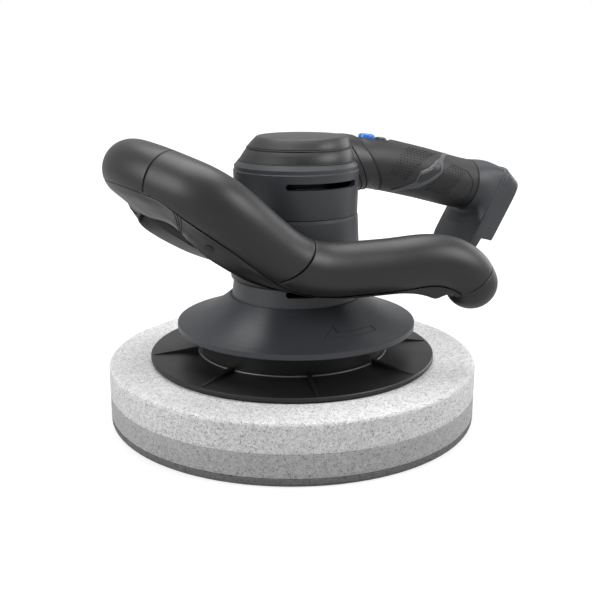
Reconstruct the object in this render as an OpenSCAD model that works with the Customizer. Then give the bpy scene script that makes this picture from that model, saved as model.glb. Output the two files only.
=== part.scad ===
// Hand-held orbital polisher with a round foam pad, a two-handed bow handle and a battery foot.
// The motor axis is the Z axis, the pad face rests on Z = 0, the rear handle points to +X,
// the bow handle reaches to -X, and the near side is -Y.

/* [Foam pad] */
// Diameter of the foam pad
pad_d = 250; // [220:1:270]
// Thickness of the pale top foam
light_foam_h = 19.5; // [14:0.5:26]
// Thickness of the grey middle foam
mid_foam_h = 15; // [10:0.5:20]
// Thickness of the dark finishing foam
dark_foam_h = 5.5; // [4:0.5:8]
// Rounding of the pad's outer edges
foam_edge = 2.5; // [1:0.5:3.5]

/* [Backing plate] */
// Diameter of the backing plate
plate_d = 194; // [184:1:204]
// Thickness of the plate at its rim
plate_rim_t = 2.6; // [2:0.1:4]
// Rise of the plate from its rim to the collar
plate_rise = 1.4; // [0.8:0.2:3]
// Thickness of the hook sheet that holds the foam
hook_t = 1.2; // [0.8:0.1:2]
// Diameter of the collar at its foot
collar_d = 129; // [122:1:134]
// Height of the collar above the plate
collar_h = 17; // [14:0.5:17.5]
// Number of stiffening gussets round the collar
gusset_count = 8; // [6:1:12]
// Thickness of a gusset
gusset_t = 2.4; // [1.6:0.2:4]
// Height of a gusset where it meets the collar
gusset_h = 3.2; // [2:0.2:8]
// Height of the plate's centre boss
boss_h = 14; // [12:0.5:14.5]

/* [Orbit drive] */
// Offset of the pad axis from the motor axis
orbit = 3; // [2:0.5:6]
// Diameter of the motor shaft
shaft_d = 8; // [6:0.5:9]
// Outer diameter of the pad bearing
pad_bearing_d = 26; // [22:1:30]
// Width of the pad bearing
pad_bearing_w = 8; // [6:0.5:9]
// Diameter of the pad spindle's journal
journal_d = 10; // [8:0.5:12]
// Radius of the counterweight
counterweight_r = 36; // [28:1:40]

/* [Motor] */
// Diameter of the motor can
can_d = 48; // [44:1:54]
// Length of the motor can
can_h = 54; // [48:1:58]
// Diameter of the cooling fan
fan_d = 68; // [56:1:74]
// Number of fan blades
blade_count = 11; // [7:1:15]
// Number of armature slots
slot_count = 12; // [8:1:14]

/* [Housing] */
// Height of the skirt's rim above the backing plate
skirt_lift = 19.8; // [18:0.2:22]
// Diameter of the skirt's rim
skirt_d = 162; // [154:1:172]
// Height of the skirt
skirt_h = 22; // [18:0.5:26]
// Diameter of the neck
neck_d = 84.5; // [83:0.5:88]
// Height of the neck
neck_h = 56; // [52:1:62]
// Diameter of the upper barrel
barrel_d = 82; // [80:0.5:85]
// Height of the upper barrel
barrel_h = 34.5; // [32:0.5:38]
// Wall of the moulded housing
wall = 3; // [2:0.2:3.6]
// Height of a cooling slot
slot_h = 4.2; // [3:0.2:6]
// Half of the arc that a cooling slot covers, in degrees
slot_arc = 35; // [25:1:45]
// Height of the cap's lower tier
tier_h = 8.5; // [6:0.5:10]
// Height of the cap's upper tier
cap_h = 7.2; // [5:0.2:9]

/* [Rear handle] */
// Width of the rear handle
handle_w = 34; // [31:0.5:38]
// Height of the rear handle at its front
handle_front_h = 36; // [33:0.5:39]
// Height of the rear handle at its end
handle_rear_h = 36.5; // [34:0.5:40]
// Distance of the handle's end from the motor axis
handle_reach = 142; // [137:1:147]
// Thickness of the soft grip
grip_t = 2.5; // [1.8:0.1:3.2]
// Travel of the two push buttons
button_travel = 1.5; // [0.8:0.1:2]

/* [Battery foot] */
// Width of the battery foot
foot_w = 46; // [43:1:54]
// Length of the battery foot
foot_l = 66; // [60:1:72]
// Thickness of the battery foot
foot_t = 17; // [15.5:0.5:21]
// Slope of the battery foot, in degrees
foot_slope = 58; // [53:1:63]
// Depth of the recess that takes the battery pack
recess_t = 11; // [9:0.5:12]

/* [Bow handle] */
// Diameter of the bow's front grips
bow_front_d = 37; // [34:0.5:40]
// Diameter of the bow's rear arms
bow_rear_d = 34; // [32:0.5:37]
// Reach of the bow in front of the motor axis
bow_reach = 110; // [104:1:118]
// Height of the bow's front above its joint with the neck
bow_rise = 55.5; // [48:0.5:60]
// Distance of each arm from the middle plane beside the neck
bow_waist = 60; // [58:0.5:66]
// Distance of each arm from the middle plane at its end
bow_spread = 84; // [78:1:92]
// Reach of the arms behind the motor axis
bow_tail = 86.5; // [80:0.5:94]
// Drop of the arms' ends below the joint with the neck
bow_fall = 38.5; // [32:0.5:44]
// Wall of the bow's covers
cover_t = 2.4; // [1.8:0.1:3]
// Depth of the finger grip below the bow's centre line
finger_depth = 28.5; // [26:0.5:32]
// Seam between neighbouring mouldings
seam = 0.4; // [0.2:0.1:0.8]

/* [Hidden] */
$fn = 64;

// Clearances
run_fit = 0.05;   // radial clearance of a running shaft
run_gap = 0.3;    // gap between faces that turn past each other
seat = 0.1;       // gap between mouldings that fit into each other
bow_seat = 0.25;  // gap between the bow's frame and its covers

// Levels from the pad upwards
foam_top = dark_foam_h + mid_foam_h + light_foam_h;
plate_z = foam_top + hook_t;
collar_z = plate_z + plate_rim_t + plate_rise;
boss_top = plate_z + boss_h;
skirt_z = plate_z + skirt_lift;
neck_z = skirt_z + skirt_h;
barrel_z = neck_z + neck_h;
tier_z = barrel_z + barrel_h;
cap_z = tier_z + tier_h;
top_z = cap_z + cap_h;

// Radii
pad_r = pad_d/2;
plate_r = plate_d/2;
collar_r = collar_d/2;
skirt_r = skirt_d/2;
neck_r = neck_d/2;
skirt_top_r = neck_r + 3.2;
barrel_r = barrel_d/2;
shaft_r = shaft_d/2;
journal_r = journal_d/2;
barrel_swell = 0.6;
barrel_bevel = 3;
tier_r = barrel_r - 3;
cap_r = tier_r - 4;
cap_top_r = cap_r - 4.3;
collar_top_r = collar_r + 0.6;
gusset_turn = 25.5;  // turn of the first gusset from the X axis, in degrees

// How far the cap's rings stand behind the motor axis, from the lower tier to the top
tier_back = 0.6;
cap_back = 2.3;
top_back = 4.4;
cap_sides = 48;

// Drive
floor_t = 4;
floor_z = neck_z - 2;
hub_top = floor_z - 1.2;
hub_boss_h = 8;
clip_space = 3;
cup_wall = 4;
bearing_z = hub_top - hub_boss_h - clip_space - pad_bearing_w;
clip_t = 1.2;
clip_r = journal_r + 3;
relief_r = clip_r + 1;
bolt_r = 3;
bolt_head_r = 6.5;
bolt_head_h = 4.5;
lower_bearing_r = shaft_r + 7;
lower_bearing_w = 7;
upper_bearing_r = shaft_r + 4;
upper_bearing_w = 5;
fan_room = 20;
fan_z = floor_z + lower_bearing_w + 2;
ledge_t = 3;
can_z = neck_z + fan_room;
can_r = can_d/2;
can_wall = 2;
bell_h = 8;
shaft_top = can_z + can_h + bell_h + 2;
magnet_t = 4;
magnet_r = can_r - can_wall;
armature_r = magnet_r - magnet_t - 0.6;
commutator_r = shaft_r + 3.5;
stack_z = can_z + 10;
stack_h = can_h - 26;
turns_h = 6;
commutator_z = stack_z + stack_h + turns_h + 1;
commutator_h = 8;
brush_w = 5;
brush_h = 6;
brush_l = 8;
brush_z = commutator_z + (commutator_h - brush_h)/2;

// Screws
screw_r = 1.6;
screw_head_r = 3;
screw_head_h = 2;
skirt_screw_pcd = neck_r - wall - 5;
post_h = fan_z - neck_z - 1.5;

// Rear handle: centre line in the XZ plane, from the cap to the foot
root_z = cap_z - handle_front_h/2 + 4.3;
handle_drop = 20;
handle_x = barrel_r + 3;             // where the handle leaves the cap
handle_run = handle_reach - handle_x;
handle_route = [[handle_x - 24, root_z], [handle_x, root_z],
    [handle_x + 16, root_z - 0.01*handle_drop],
    [handle_x + 0.526*handle_run, root_z - 0.41*handle_drop],
    [handle_x + 0.866*handle_run, root_z - 0.86*handle_drop], [handle_reach, root_z - 1.01*handle_drop],
    [handle_reach + 10, root_z - 1.14*handle_drop]];
handle_last = len(handle_route) - 2;
handle_sides = 28;
core_s = 1.45;       // start of the handle's core along the route
tier_line = [barrel_r + 2.3, barrel_z + 18];   // where the cap's lower tier leaves the barrel
cap_line = [barrel_r + 5.7, barrel_z + 20];    // where the cap's upper tier meets the lower one
grip_line = [barrel_r + 20.4, barrel_z + 12];  // where the soft grip starts
tier_lean = -33.6;
cap_lean = -28;
grip_lean = -28;

// Buttons, in a strip on the handle's top
strip_x = handle_x + 17;
strip_lean = 8;
strip_l = 26;
strip_w = 17;
strip_t = 2;
power_l = 12;
power_at = -5.9;
stop_l = 7.5;
stop_at = 5.7;
key_gap = 0.35;
key_crown_r = 14;
button_w = 11;
button_rise = 2.6;
switch_l = 24;
switch_w = 15;
switch_h = 14;

// Inlay band round the grip, as an outline in the side view, from the band's middle
inlay_x = handle_x + 0.588*handle_run;
inlay_z = root_z - 12;
inlay_lean = 40;
inlay_proud = 0.5;

// Battery foot
foot_at = [handle_reach - 12.7, 0, root_z - handle_drop - 45.7];
foot_wall = 5;
foot_corner = 7;
blend_steps = 6;     // outlines of the neck that joins the foot to the handle
rail_t = 2.4;
rail_w = 3.2;
rear_start = 16;
terminal_l = 14;
terminal_w = 26;
terminal_count = 3;
blade_pitch = 8;

// Bow handle: centre line of the near arm, from the front middle to the end behind the body
bow_z = neck_z + 0.62*neck_h;
bow_route = [[-0.896*bow_reach, 0.42*bow_spread, bow_z + 0.892*bow_rise], [-bow_reach, 0, bow_z + bow_rise],
    [-0.896*bow_reach, -0.42*bow_spread, bow_z + 0.892*bow_rise],
    [-0.721*bow_reach, -0.933*bow_waist, bow_z + 0.672*bow_rise],
    [-0.289*bow_reach, -bow_waist, bow_z - 0.011*bow_rise],
    [0.185*bow_tail, -1.15*bow_waist, bow_z - 0.123*bow_fall],
    [0.602*bow_tail, -0.935*bow_spread, bow_z - 0.07*bow_fall],
    [0.823*bow_tail, -0.988*bow_spread, bow_z - 0.206*bow_fall],
    [0.956*bow_tail, -bow_spread, bow_z - 0.512*bow_fall],
    [bow_tail, -bow_spread, bow_z - bow_fall]];
cover_s = 0.78;      // end of the front cover along the route
grip_s = 3.07;       // end of the near grip along the route
grip_tilt = -0.25;   // how far the grip's end leads along the route below the tube
arm_s = 6.72;        // end of the rear arm along the route
nose_s = 7;          // start of the rounded nose along the route
front_lip = 106;     // how far the front cover reaches round the tube from its top, in degrees
rear_lip = 151;      // how far the covers of the arms reach round it
scoop_lip = 6;       // how much of that the arms' ends give up
lip_steps = 14;
lip_gap = 0.4;       // gap under a cover's lip
bow_step = 0.25;     // distance between the bow's outlines along the route
hub_t = 2;
hub_z = neck_z + 0.21*neck_h;
hub_h = 0.41*neck_h;
end_sides = 24;
bow_screw_s = [1.55, 2.35];
bow_screw_drop = 6;  // depth of a screw head's seat below the centre line

// Points and curves
function unit(v) = v/norm(v);
function flip_y(p) = [p[0], -p[1], p[2]];
function mix(a, b, t) = a + (b - a)*t;
function smooth(t) = let(u = min(1, max(0, t))) u*u*(3 - 2*u);

// A smooth curve through the points of a route, where s counts the points
function curve(route, s) =
    let(i = min(max(floor(s), 0), len(route) - 2), t = s - i,
        a = route[max(i - 1, 0)], b = route[i], c = route[i + 1], d = route[min(i + 2, len(route) - 1)])
    0.5*(2*b + (c - a)*t + (2*a - 5*b + 4*c - d)*t*t + (3*b - a - 3*c + d)*t*t*t);

// A quadratic curve from a to c that is drawn towards b
function bend(a, b, c, n) = [for (i = [0:n]) let(t = i/n) a*(1 - t)*(1 - t) + b*2*t*(1 - t) + c*t*t];

// Outline of a rectangle with round corners, centred
function round_rect(l, w, r, n = 6) = [for (k = [0:3], i = [0:n])
    let(a = 90*k + 90*i/n, sx = (k == 0 || k == 3) ? 1 : -1, sy = k < 2 ? 1 : -1)
    [sx*(l/2 - r) + r*cos(a), sy*(w/2 - r) + r*sin(a)]];

// The end face of a loft, as a strip of triangles between the two halves of its outline
function end_face(m, base) = [for (j = [0:floor((m - 1)/2) - 1]) let(k = m - 1 - j)
    each concat(j + 2 < k ? [[base + j, base + j + 1, base + k - 1]] : [],
        [[base + j, base + k - 1, base + k]])];

function turned(faces) = [for (f = faces) [f[2], f[1], f[0]]];

// A solid through a row of outlines that have the same number of points
module loft(rings) {
    n = len(rings);
    m = len(rings[0]);
    points = [for (ring = rings, p = ring) p];
    sides = [for (i = [0:n - 2], j = [0:m - 1]) let(k = (j + 1)%m, a = i*m, b = a + m)
        each [[a + j, a + k, b + k], [a + j, b + k, b + j]]];
    polyhedron(points, concat(sides, turned(end_face(m, 0)), end_face(m, (n - 1)*m)));
}

// Foam and backing plate

module on_pad_axis() {
    translate([-orbit, 0, 0]) children();
}

module foam_dark() {
    color("#5f5f5f") on_pad_axis() rotate_extrude()
        polygon(concat([[0, 0]],
            bend([pad_r - foam_edge, 0], [pad_r, 0], [pad_r, foam_edge], 5),
            [[pad_r, dark_foam_h], [0, dark_foam_h]]));
}

module foam_mid() {
    color("#a5a5a5") on_pad_axis() translate([0, 0, dark_foam_h])
        cylinder(r = pad_r, h = mid_foam_h);
}

module foam_light() {
    z = dark_foam_h + mid_foam_h;
    color("#d2d2d2") on_pad_axis() rotate_extrude()
        polygon(concat([[0, z], [pad_r, z]],
            bend([pad_r, foam_top - foam_edge], [pad_r, foam_top], [pad_r - foam_edge, foam_top], 5),
            [[0, foam_top]]));
}

module hook_sheet() {
    color("#1c1c1c") on_pad_axis() translate([0, 0, foam_top]) difference() {
        cylinder(r = plate_r - 1, h = hook_t);
        translate([0, 0, -1]) cylinder(r = bolt_head_r + 4, h = hook_t + 2);
    }
}

// One triangular rib that stiffens the plate from the collar to the rim
module gusset() {
    rotate([90, 0, 0]) translate([0, 0, -gusset_t/2]) linear_extrude(height = gusset_t)
        polygon([[collar_r + 0.2, collar_z - 1], [plate_r - 2, plate_z + plate_rim_t - 0.4],
            [plate_r - 2, plate_z + plate_rim_t + 0.4], [collar_r + 0.2, collar_z + gusset_h]]);
}

module plate_profile() {
    polygon([[0, plate_z], [plate_r, plate_z], [plate_r, plate_z + plate_rim_t - 0.6],
        [plate_r - 0.6, plate_z + plate_rim_t], [collar_r, collar_z], [collar_r - 10, collar_z],
        [collar_r - 14, plate_z + 3], [bolt_head_r + 12, plate_z + 3], [bolt_head_r + 6, boss_top],
        [0, boss_top]]);
}

module backing_plate() {
    color("#181818") on_pad_axis() difference() {
        union() {
            rotate_extrude() plate_profile();
            for (i = [0:gusset_count - 1]) rotate([0, 0, gusset_turn + 360*i/gusset_count]) gusset();
        }
        translate([0, 0, plate_z - 1]) cylinder(r = bolt_r + run_fit, h = boss_h + 2);
        translate([0, 0, plate_z - 1]) cylinder(r = bolt_head_r + 0.5, h = bolt_head_h + 2);
        at_collar_screws() translate([0, 0, plate_z - 1]) cylinder(r = screw_r, h = collar_z);
    }
}

module at_collar_screws() {
    for (a = [45:90:315]) rotate([0, 0, a]) translate([collar_r - 5, 0, 0]) children();
}

module pad_collar() {
    lip = 1;
    color("#202020") on_pad_axis() difference() {
        rotate_extrude() polygon([[collar_r - 9, collar_z], [collar_r - 0.4, collar_z],
            [collar_r - 0.4, collar_z + lip], [collar_r - 2, collar_z + lip + 0.5],
            [collar_top_r, collar_z + collar_h - 1], [collar_top_r - 1, collar_z + collar_h],
            [collar_top_r - 3, collar_z + collar_h], [collar_r - 5.2, collar_z + 6],
            [collar_r - 9, collar_z + 6]]);
        at_collar_screws() translate([0, 0, collar_z - 1]) cylinder(r = screw_r, h = 5);
    }
}

module collar_screws() {
    color("#9a9a9a") on_pad_axis() at_collar_screws() {
        translate([0, 0, plate_z + 0.2]) cylinder(r = screw_r - 0.05, h = collar_z - plate_z + 3);
    }
}

// Spindle that hangs in the eccentric bearing and carries the plate
module pad_spindle() {
    flange_top = bearing_z - run_gap;
    journal_top = bearing_z + pad_bearing_w + clip_space - 0.6;
    color("#b5b5b5") on_pad_axis() difference() {
        union() {
            translate([0, 0, boss_top]) cylinder(r = bolt_head_r + 4, h = flange_top - boss_top);
            translate([0, 0, boss_top]) cylinder(r = journal_r - run_fit, h = journal_top - boss_top);
        }
        translate([0, 0, boss_top - 1]) cylinder(r = bolt_r + run_fit, h = pad_bearing_w + 2);
    }
}

module spindle_clip() {
    color("#707478") on_pad_axis() translate([0, 0, bearing_z + pad_bearing_w + run_gap]) difference() {
        cylinder(r = clip_r, h = clip_t);
        translate([0, 0, -1]) cylinder(r = journal_r - run_fit, h = clip_t + 2);
        translate([0, -1, -1]) cube([clip_r + 1, 2, clip_t + 2]);
    }
}

module spindle_bolt() {
    head_z = plate_z + 1.2;
    color("#8c8f92") on_pad_axis() union() {
        translate([0, 0, head_z])
            cylinder(r = bolt_head_r, h = bolt_head_h + plate_z + 1 - head_z, $fn = 6);
        translate([0, 0, head_z]) cylinder(r = bolt_r, h = boss_top + pad_bearing_w - head_z);
    }
}

// Drive

module eccentric_hub() {
    cup_r = pad_bearing_d/2 + cup_wall;
    cup_top = hub_top - hub_boss_h;
    color("#8d9094") difference() {
        union() {
            translate([0, 0, cup_top - 1]) cylinder(r = relief_r + orbit + 2, h = hub_boss_h + 1);
            translate([-orbit, 0, bearing_z]) cylinder(r = cup_r, h = cup_top - bearing_z);
            translate([0, 0, bearing_z]) rotate([0, 0, -65]) rotate_extrude(angle = 130)
                translate([cup_r - orbit - 1, 0])
                    square([counterweight_r - cup_r + orbit + 1, cup_top - bearing_z]);
        }
        translate([-orbit, 0, bearing_z - 1]) cylinder(r = pad_bearing_d/2, h = pad_bearing_w + 1);
        translate([-orbit, 0, bearing_z]) cylinder(r = relief_r, h = pad_bearing_w + clip_space);
        translate([0, 0, cup_top - 1]) cylinder(r = shaft_r, h = hub_boss_h + 2);
    }
}

// A shielded ball bearing as one ring, with the groove of the shield on both faces
module bearing(outer_r, bore_r, w) {
    groove = 0.4;
    mid_r = (outer_r + bore_r)/2;
    difference() {
        cylinder(r = outer_r, h = w);
        translate([0, 0, -1]) cylinder(r = bore_r, h = w + 2);
        for (z = [-1, w - groove]) translate([0, 0, z]) difference() {
            cylinder(r = mid_r + 1.4, h = 1 + groove);
            translate([0, 0, -1]) cylinder(r = mid_r - 1.4, h = 3 + groove);
        }
    }
}

module pad_bearing() {
    color("#c2c4c6") translate([-orbit, 0, bearing_z]) bearing(pad_bearing_d/2, journal_r, pad_bearing_w);
}

module lower_bearing() {
    color("#c2c4c6") translate([0, 0, floor_z]) bearing(lower_bearing_r, shaft_r + run_fit, lower_bearing_w);
}

module upper_bearing() {
    color("#c2c4c6") translate([0, 0, can_z + can_h + 1.5])
        bearing(upper_bearing_r, shaft_r + run_fit, upper_bearing_w);
}

module motor_shaft() {
    shaft_z = hub_top - hub_boss_h;
    color("#bfc1c3") translate([0, 0, shaft_z]) cylinder(r = shaft_r, h = shaft_top - shaft_z);
}

module armature_core() {
    tooth_gap = 2.2;
    color("#77797c") translate([0, 0, stack_z]) difference() {
        cylinder(r = armature_r, h = stack_h);
        translate([0, 0, -1]) cylinder(r = shaft_r, h = stack_h + 2);
        for (i = [0:slot_count - 1]) rotate([0, 0, 360*i/slot_count])
            translate([armature_r - 5, -tooth_gap/2, -1]) cube([6, tooth_gap, stack_h + 2]);
    }
}

module armature_windings() {
    color("#b06a32") for (z = [stack_z - turns_h, stack_z + stack_h]) translate([0, 0, z]) difference() {
        cylinder(r = armature_r - 2, h = turns_h);
        translate([0, 0, -1]) cylinder(r = shaft_r + 1, h = turns_h + 2);
    }
}

module commutator() {
    bars = 12;
    color("#c08040") translate([0, 0, commutator_z]) difference() {
        cylinder(r = commutator_r, h = commutator_h);
        translate([0, 0, -1]) cylinder(r = shaft_r, h = commutator_h + 2);
        for (i = [0:bars - 1]) rotate([0, 0, 360*i/bars])
            translate([commutator_r - 0.8, -0.3, -1]) cube([2, 0.6, commutator_h + 2]);
    }
}

module cooling_fan() {
    fan_h = can_z - ledge_t - 1.5 - fan_z;
    disc_t = 1.6;
    hub_r = shaft_r + 5;
    color("#2b2b2b") translate([0, 0, fan_z]) difference() {
        union() {
            cylinder(r = hub_r, h = fan_h);
            translate([0, 0, fan_h - disc_t]) cylinder(r = fan_d/2, h = disc_t);
            for (i = [0:blade_count - 1]) rotate([0, 0, 360*i/blade_count])
                translate([hub_r - 0.5, -0.7, 0]) cube([fan_d/2 - hub_r - 0.5, 1.4, fan_h]);
        }
        translate([0, 0, -1]) cylinder(r = shaft_r, h = fan_h + 2);
    }
}

// Motor

module motor_can() {
    color("#8a8d90") translate([0, 0, can_z]) difference() {
        cylinder(r = can_r, h = can_h);
        translate([0, 0, can_wall]) cylinder(r = can_r - can_wall, h = can_h);
        translate([0, 0, -1]) cylinder(r = shaft_r + 3, h = can_h);
        for (a = [0:90:270]) rotate([0, 0, a + 45]) translate([can_r - 8, 0, -1])
            cylinder(r = 3, h = can_wall + 2);
        at_motor_screws() translate([0, 0, -1]) cylinder(r = screw_r, h = can_wall + 2);
    }
}

module at_motor_screws() {
    for (a = [0, 180]) rotate([0, 0, a]) translate([shaft_r + 7.5, 0, 0]) children();
}

module motor_screws() {
    color("#9a9a9a") at_motor_screws() {
        translate([0, 0, can_z - ledge_t - screw_head_h + 1]) cylinder(r = screw_head_r, h = screw_head_h);
        translate([0, 0, can_z - ledge_t]) cylinder(r = screw_r - 0.05, h = ledge_t + can_wall);
    }
}

module motor_magnets() {
    color("#4a4c50") for (a = [30, 210]) translate([0, 0, stack_z - 3]) rotate([0, 0, a])
        rotate_extrude(angle = 120) translate([magnet_r - magnet_t, 0])
            square([magnet_t - run_fit, stack_h + 6]);
}

module motor_end_bell() {
    color("#2a2a2c") translate([0, 0, can_z + can_h]) difference() {
        cylinder(r = can_r, h = bell_h);
        translate([0, 0, 1.5]) cylinder(r = upper_bearing_r, h = bell_h);
        translate([0, 0, -1]) cylinder(r = shaft_r + 1.5, h = bell_h);
        for (a = [0:90:270]) rotate([0, 0, a]) translate([can_r - 7, 0, -1])
            cylinder(r = 3.2, h = bell_h + 2);
    }
}

module brush_holders() {
    t = 1.2;
    out = commutator_r + run_gap;
    color("#b89a50") for (a = [0, 180]) rotate([0, 0, a]) difference() {
        translate([out + 2, -brush_w/2 - t, brush_z - t])
            cube([brush_l + 1, brush_w + 2*t, can_z + can_h - brush_z + t]);
        translate([out, -brush_w/2, brush_z]) cube([brush_l + 4, brush_w, brush_h]);
    }
}

module carbon_brushes() {
    color("#3a3a3c") for (a = [0, 180]) rotate([0, 0, a])
        translate([commutator_r + run_gap, -brush_w/2 + seat, brush_z])
            cube([brush_l, brush_w - 2*seat, brush_h - seat]);
}

// Housing

// A slot with round ends that follows the wall on both sides of the body
module side_slots(r, z) {
    for (a = [-90, 90]) translate([0, 0, z]) rotate([0, 0, a]) {
        rotate([0, 0, -slot_arc]) rotate_extrude(angle = 2*slot_arc)
            translate([r - wall - 2, -slot_h/2]) square([wall + 6, slot_h]);
        for (end = [-slot_arc, slot_arc]) rotate([0, 90, end])
            translate([0, 0, r - wall - 2]) cylinder(r = slot_h/2, h = wall + 6, $fn = 24);
    }
}

module skirt() {
    rim_h = 4;
    slope = bend([skirt_r, skirt_z + rim_h], [skirt_r - 20, skirt_z + rim_h + 4.5], [skirt_top_r, neck_z], 8);
    inner = bend([skirt_top_r - wall, neck_z - wall], [skirt_r - 22, skirt_z + rim_h + 4.5 - wall],
        [skirt_r - wall, skirt_z + rim_h - 1], 8);
    flange_r = skirt_screw_pcd - 5;
    color("#46484c") difference() {
        union() {
            rotate_extrude() polygon(concat([[skirt_r - 0.5, skirt_z], [skirt_r, skirt_z + 0.5]], slope,
                inner, [[skirt_r - wall, skirt_z]]));
            rotate_extrude() polygon([[flange_r, neck_z - wall], [skirt_top_r, neck_z - wall],
                [skirt_top_r, neck_z], [flange_r, neck_z]]);
        }
        at_skirt_screws() translate([0, 0, neck_z - wall - 1]) cylinder(r = screw_r, h = wall + 2);
    }
}

module at_skirt_screws() {
    for (a = [45:90:315]) rotate([0, 0, a]) translate([skirt_screw_pcd, 0, 0]) children();
}

module skirt_screws() {
    color("#9a9a9a") at_skirt_screws() {
        translate([0, 0, neck_z - wall - screw_head_h]) cylinder(r = screw_head_r, h = screw_head_h);
        translate([0, 0, neck_z - wall]) cylinder(r = screw_r - 0.05, h = wall + post_h - 1);
    }
}

// Neck with its bearing floor, its motor ledge and the screw posts for the skirt
module neck_housing() {
    shoulder = 19;
    flare = 1.4;
    floor_r = skirt_screw_pcd - 5 - seat;
    inner_r = neck_r - wall;
    color("#46484c") difference() {
        union() {
            rotate_extrude() polygon([[inner_r, neck_z], [neck_r + flare, neck_z], [neck_r, hub_z],
                [neck_r, barrel_z - shoulder],
                [barrel_r + 0.4, barrel_z - 2], [barrel_r, barrel_z], [barrel_r - wall, barrel_z],
                [barrel_r - wall, barrel_z - 2], [inner_r, barrel_z - shoulder]]);
            translate([0, 0, floor_z]) cylinder(r = floor_r, h = floor_t);
            translate([0, 0, neck_z]) cylinder(r = inner_r + 1, h = floor_t - 2);
            translate([0, 0, floor_z]) cylinder(r = lower_bearing_r + wall, h = lower_bearing_w);
            translate([0, 0, can_z - ledge_t]) cylinder(r = inner_r + 1, h = ledge_t);
            at_skirt_screws() translate([0, 0, neck_z]) cylinder(r = screw_head_r + 1, h = post_h);
        }
        translate([0, 0, floor_z - 1]) cylinder(r = lower_bearing_r, h = lower_bearing_w + 2);
        translate([0, 0, can_z - ledge_t - 1]) cylinder(r = shaft_r + 3, h = ledge_t + 2);
        at_motor_screws() {
            translate([0, 0, can_z - ledge_t - 1]) cylinder(r = screw_r, h = ledge_t + 2);
            translate([0, 0, can_z - ledge_t - 1]) cylinder(r = screw_head_r + 0.2, h = 2);
        }
        for (a = [60:60:360]) rotate([0, 0, a + 30]) translate([can_r + 6, 0, can_z - ledge_t - 1])
            cylinder(r = 5, h = ledge_t + 2);
        at_skirt_screws() translate([0, 0, neck_z - 1]) cylinder(r = screw_r, h = post_h + 0.5);
        side_slots(neck_r, neck_z + 9);
    }
}

module upper_barrel() {
    inner_r = barrel_r - wall;
    color("#46484c") difference() {
        rotate_extrude() polygon([[inner_r, barrel_z], [barrel_r - 0.4, barrel_z], [barrel_r, barrel_z + 0.6],
            [barrel_r + barrel_swell, tier_z - barrel_bevel - 3], [barrel_r, tier_z - barrel_bevel - 2.4],
            [barrel_r, tier_z - barrel_bevel],
            [tier_r + 0.4, tier_z], [inner_r - 3, tier_z], [inner_r - 3, tier_z - 2], [inner_r, tier_z - 5]]);
        side_slots(barrel_r, tier_z - 13);
    }
}

// Everything behind a leaning plane across the handle
module behind(line, lean, shift = 0) {
    far = 200;
    translate([line[0] + shift, 0, line[1]]) rotate([0, lean, 0]) translate([0, -far/2, -far])
        cube([far, far, 2*far]);
}

// Outline across the rear handle at a place on its centre line
function handle_ring(s, grow) =
    let(c = curve(handle_route, s), t = unit(curve(handle_route, s + 0.02) - curve(handle_route, s - 0.02)),
        k = smooth((s - 1)/(handle_last - 1)),
        w = handle_w/2 + grow, h = mix(handle_front_h, handle_rear_h, k)/2 + grow)
    [for (i = [0:handle_sides - 1]) let(a = 360*i/handle_sides)
        [c[0] - t[1]*h*cos(a), w*sin(a), c[1] + t[0]*h*cos(a)]];

module handle_solid(s0, s1, grow, n = 12) {
    loft([for (i = [0:n]) handle_ring(mix(s0, s1, i/n), grow)]);
}

// A ring of the cap, which stands a little behind the motor axis
function cap_ring(r, back, z) = [for (i = [0:cap_sides - 1]) let(a = 360*i/cap_sides)
    [back + r*cos(a), -r*sin(a), z]];

// Hollow of the cap's lower tier, which is open to the barrel
module cap_room() {
    translate([0, 0, tier_z - 1])
        cylinder(r1 = tier_r - wall, r2 = cap_r + 0.8 - cap_back - wall, h = tier_h + 1);
}

// Room that the handle's root leaves round the barrel
module clear_of_barrel() {
    gap = 0.3;
    rotate_extrude() polygon([[0, barrel_z - 1], [barrel_r + barrel_swell + gap, barrel_z - 1],
        [barrel_r + barrel_swell + gap, tier_z - barrel_bevel], [tier_r + 0.4 + gap, tier_z], [0, tier_z]]);
}

module cap_tier() {
    groove = 0.5;
    color("#404040") difference() {
        union() {
            difference() {
                loft([cap_ring(tier_r, tier_back, tier_z), cap_ring(tier_r, tier_back, tier_z + 0.8),
                    cap_ring(cap_r + 0.8, cap_back, cap_z - groove)]);
                behind(cap_line, cap_lean);
            }
            difference() {
                intersection() {
                    handle_solid(0.3, 3, 0, 9);
                    behind(tier_line, tier_lean);
                }
                behind(cap_line, cap_lean);
                translate([0, 0, cap_z - groove]) cylinder(r = 2*barrel_r, h = top_z);
            }
        }
        cap_room();
        clear_of_barrel();
    }
}

module top_cap() {
    lid_t = 3;
    color("#404040") difference() {
        union() {
            loft([cap_ring(cap_r, cap_back, cap_z), cap_ring(cap_r, cap_back, cap_z + 0.6),
                cap_ring(cap_top_r + 0.5, top_back, top_z - 0.5),
                cap_ring(cap_top_r - 1.5, top_back, top_z)]);
            difference() {
                intersection() {
                    handle_solid(0.3, 3, 0, 9);
                    behind(cap_line, cap_lean, seam);
                }
                behind(grip_line, grip_lean);
            }
        }
        translate([cap_back, 0, cap_z - 1]) cylinder(r = cap_top_r - 5, h = top_z - cap_z + 1 - lid_t);
        cap_room();
        clear_of_barrel();
        handle_solid(core_s - 0.05, 4, -grip_t, 9);
        strip_space(seat);
        switch_space(seat);
    }
}

module handle_core() {
    color("#343434") difference() {
        handle_solid(core_s, handle_last, -grip_t - 2*seat, 8);
        handle_solid(core_s - 0.5, handle_last + 0.5, -2*grip_t - seat, 9);
        strip_space(seat);
        switch_space(seat);
    }
}

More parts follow.
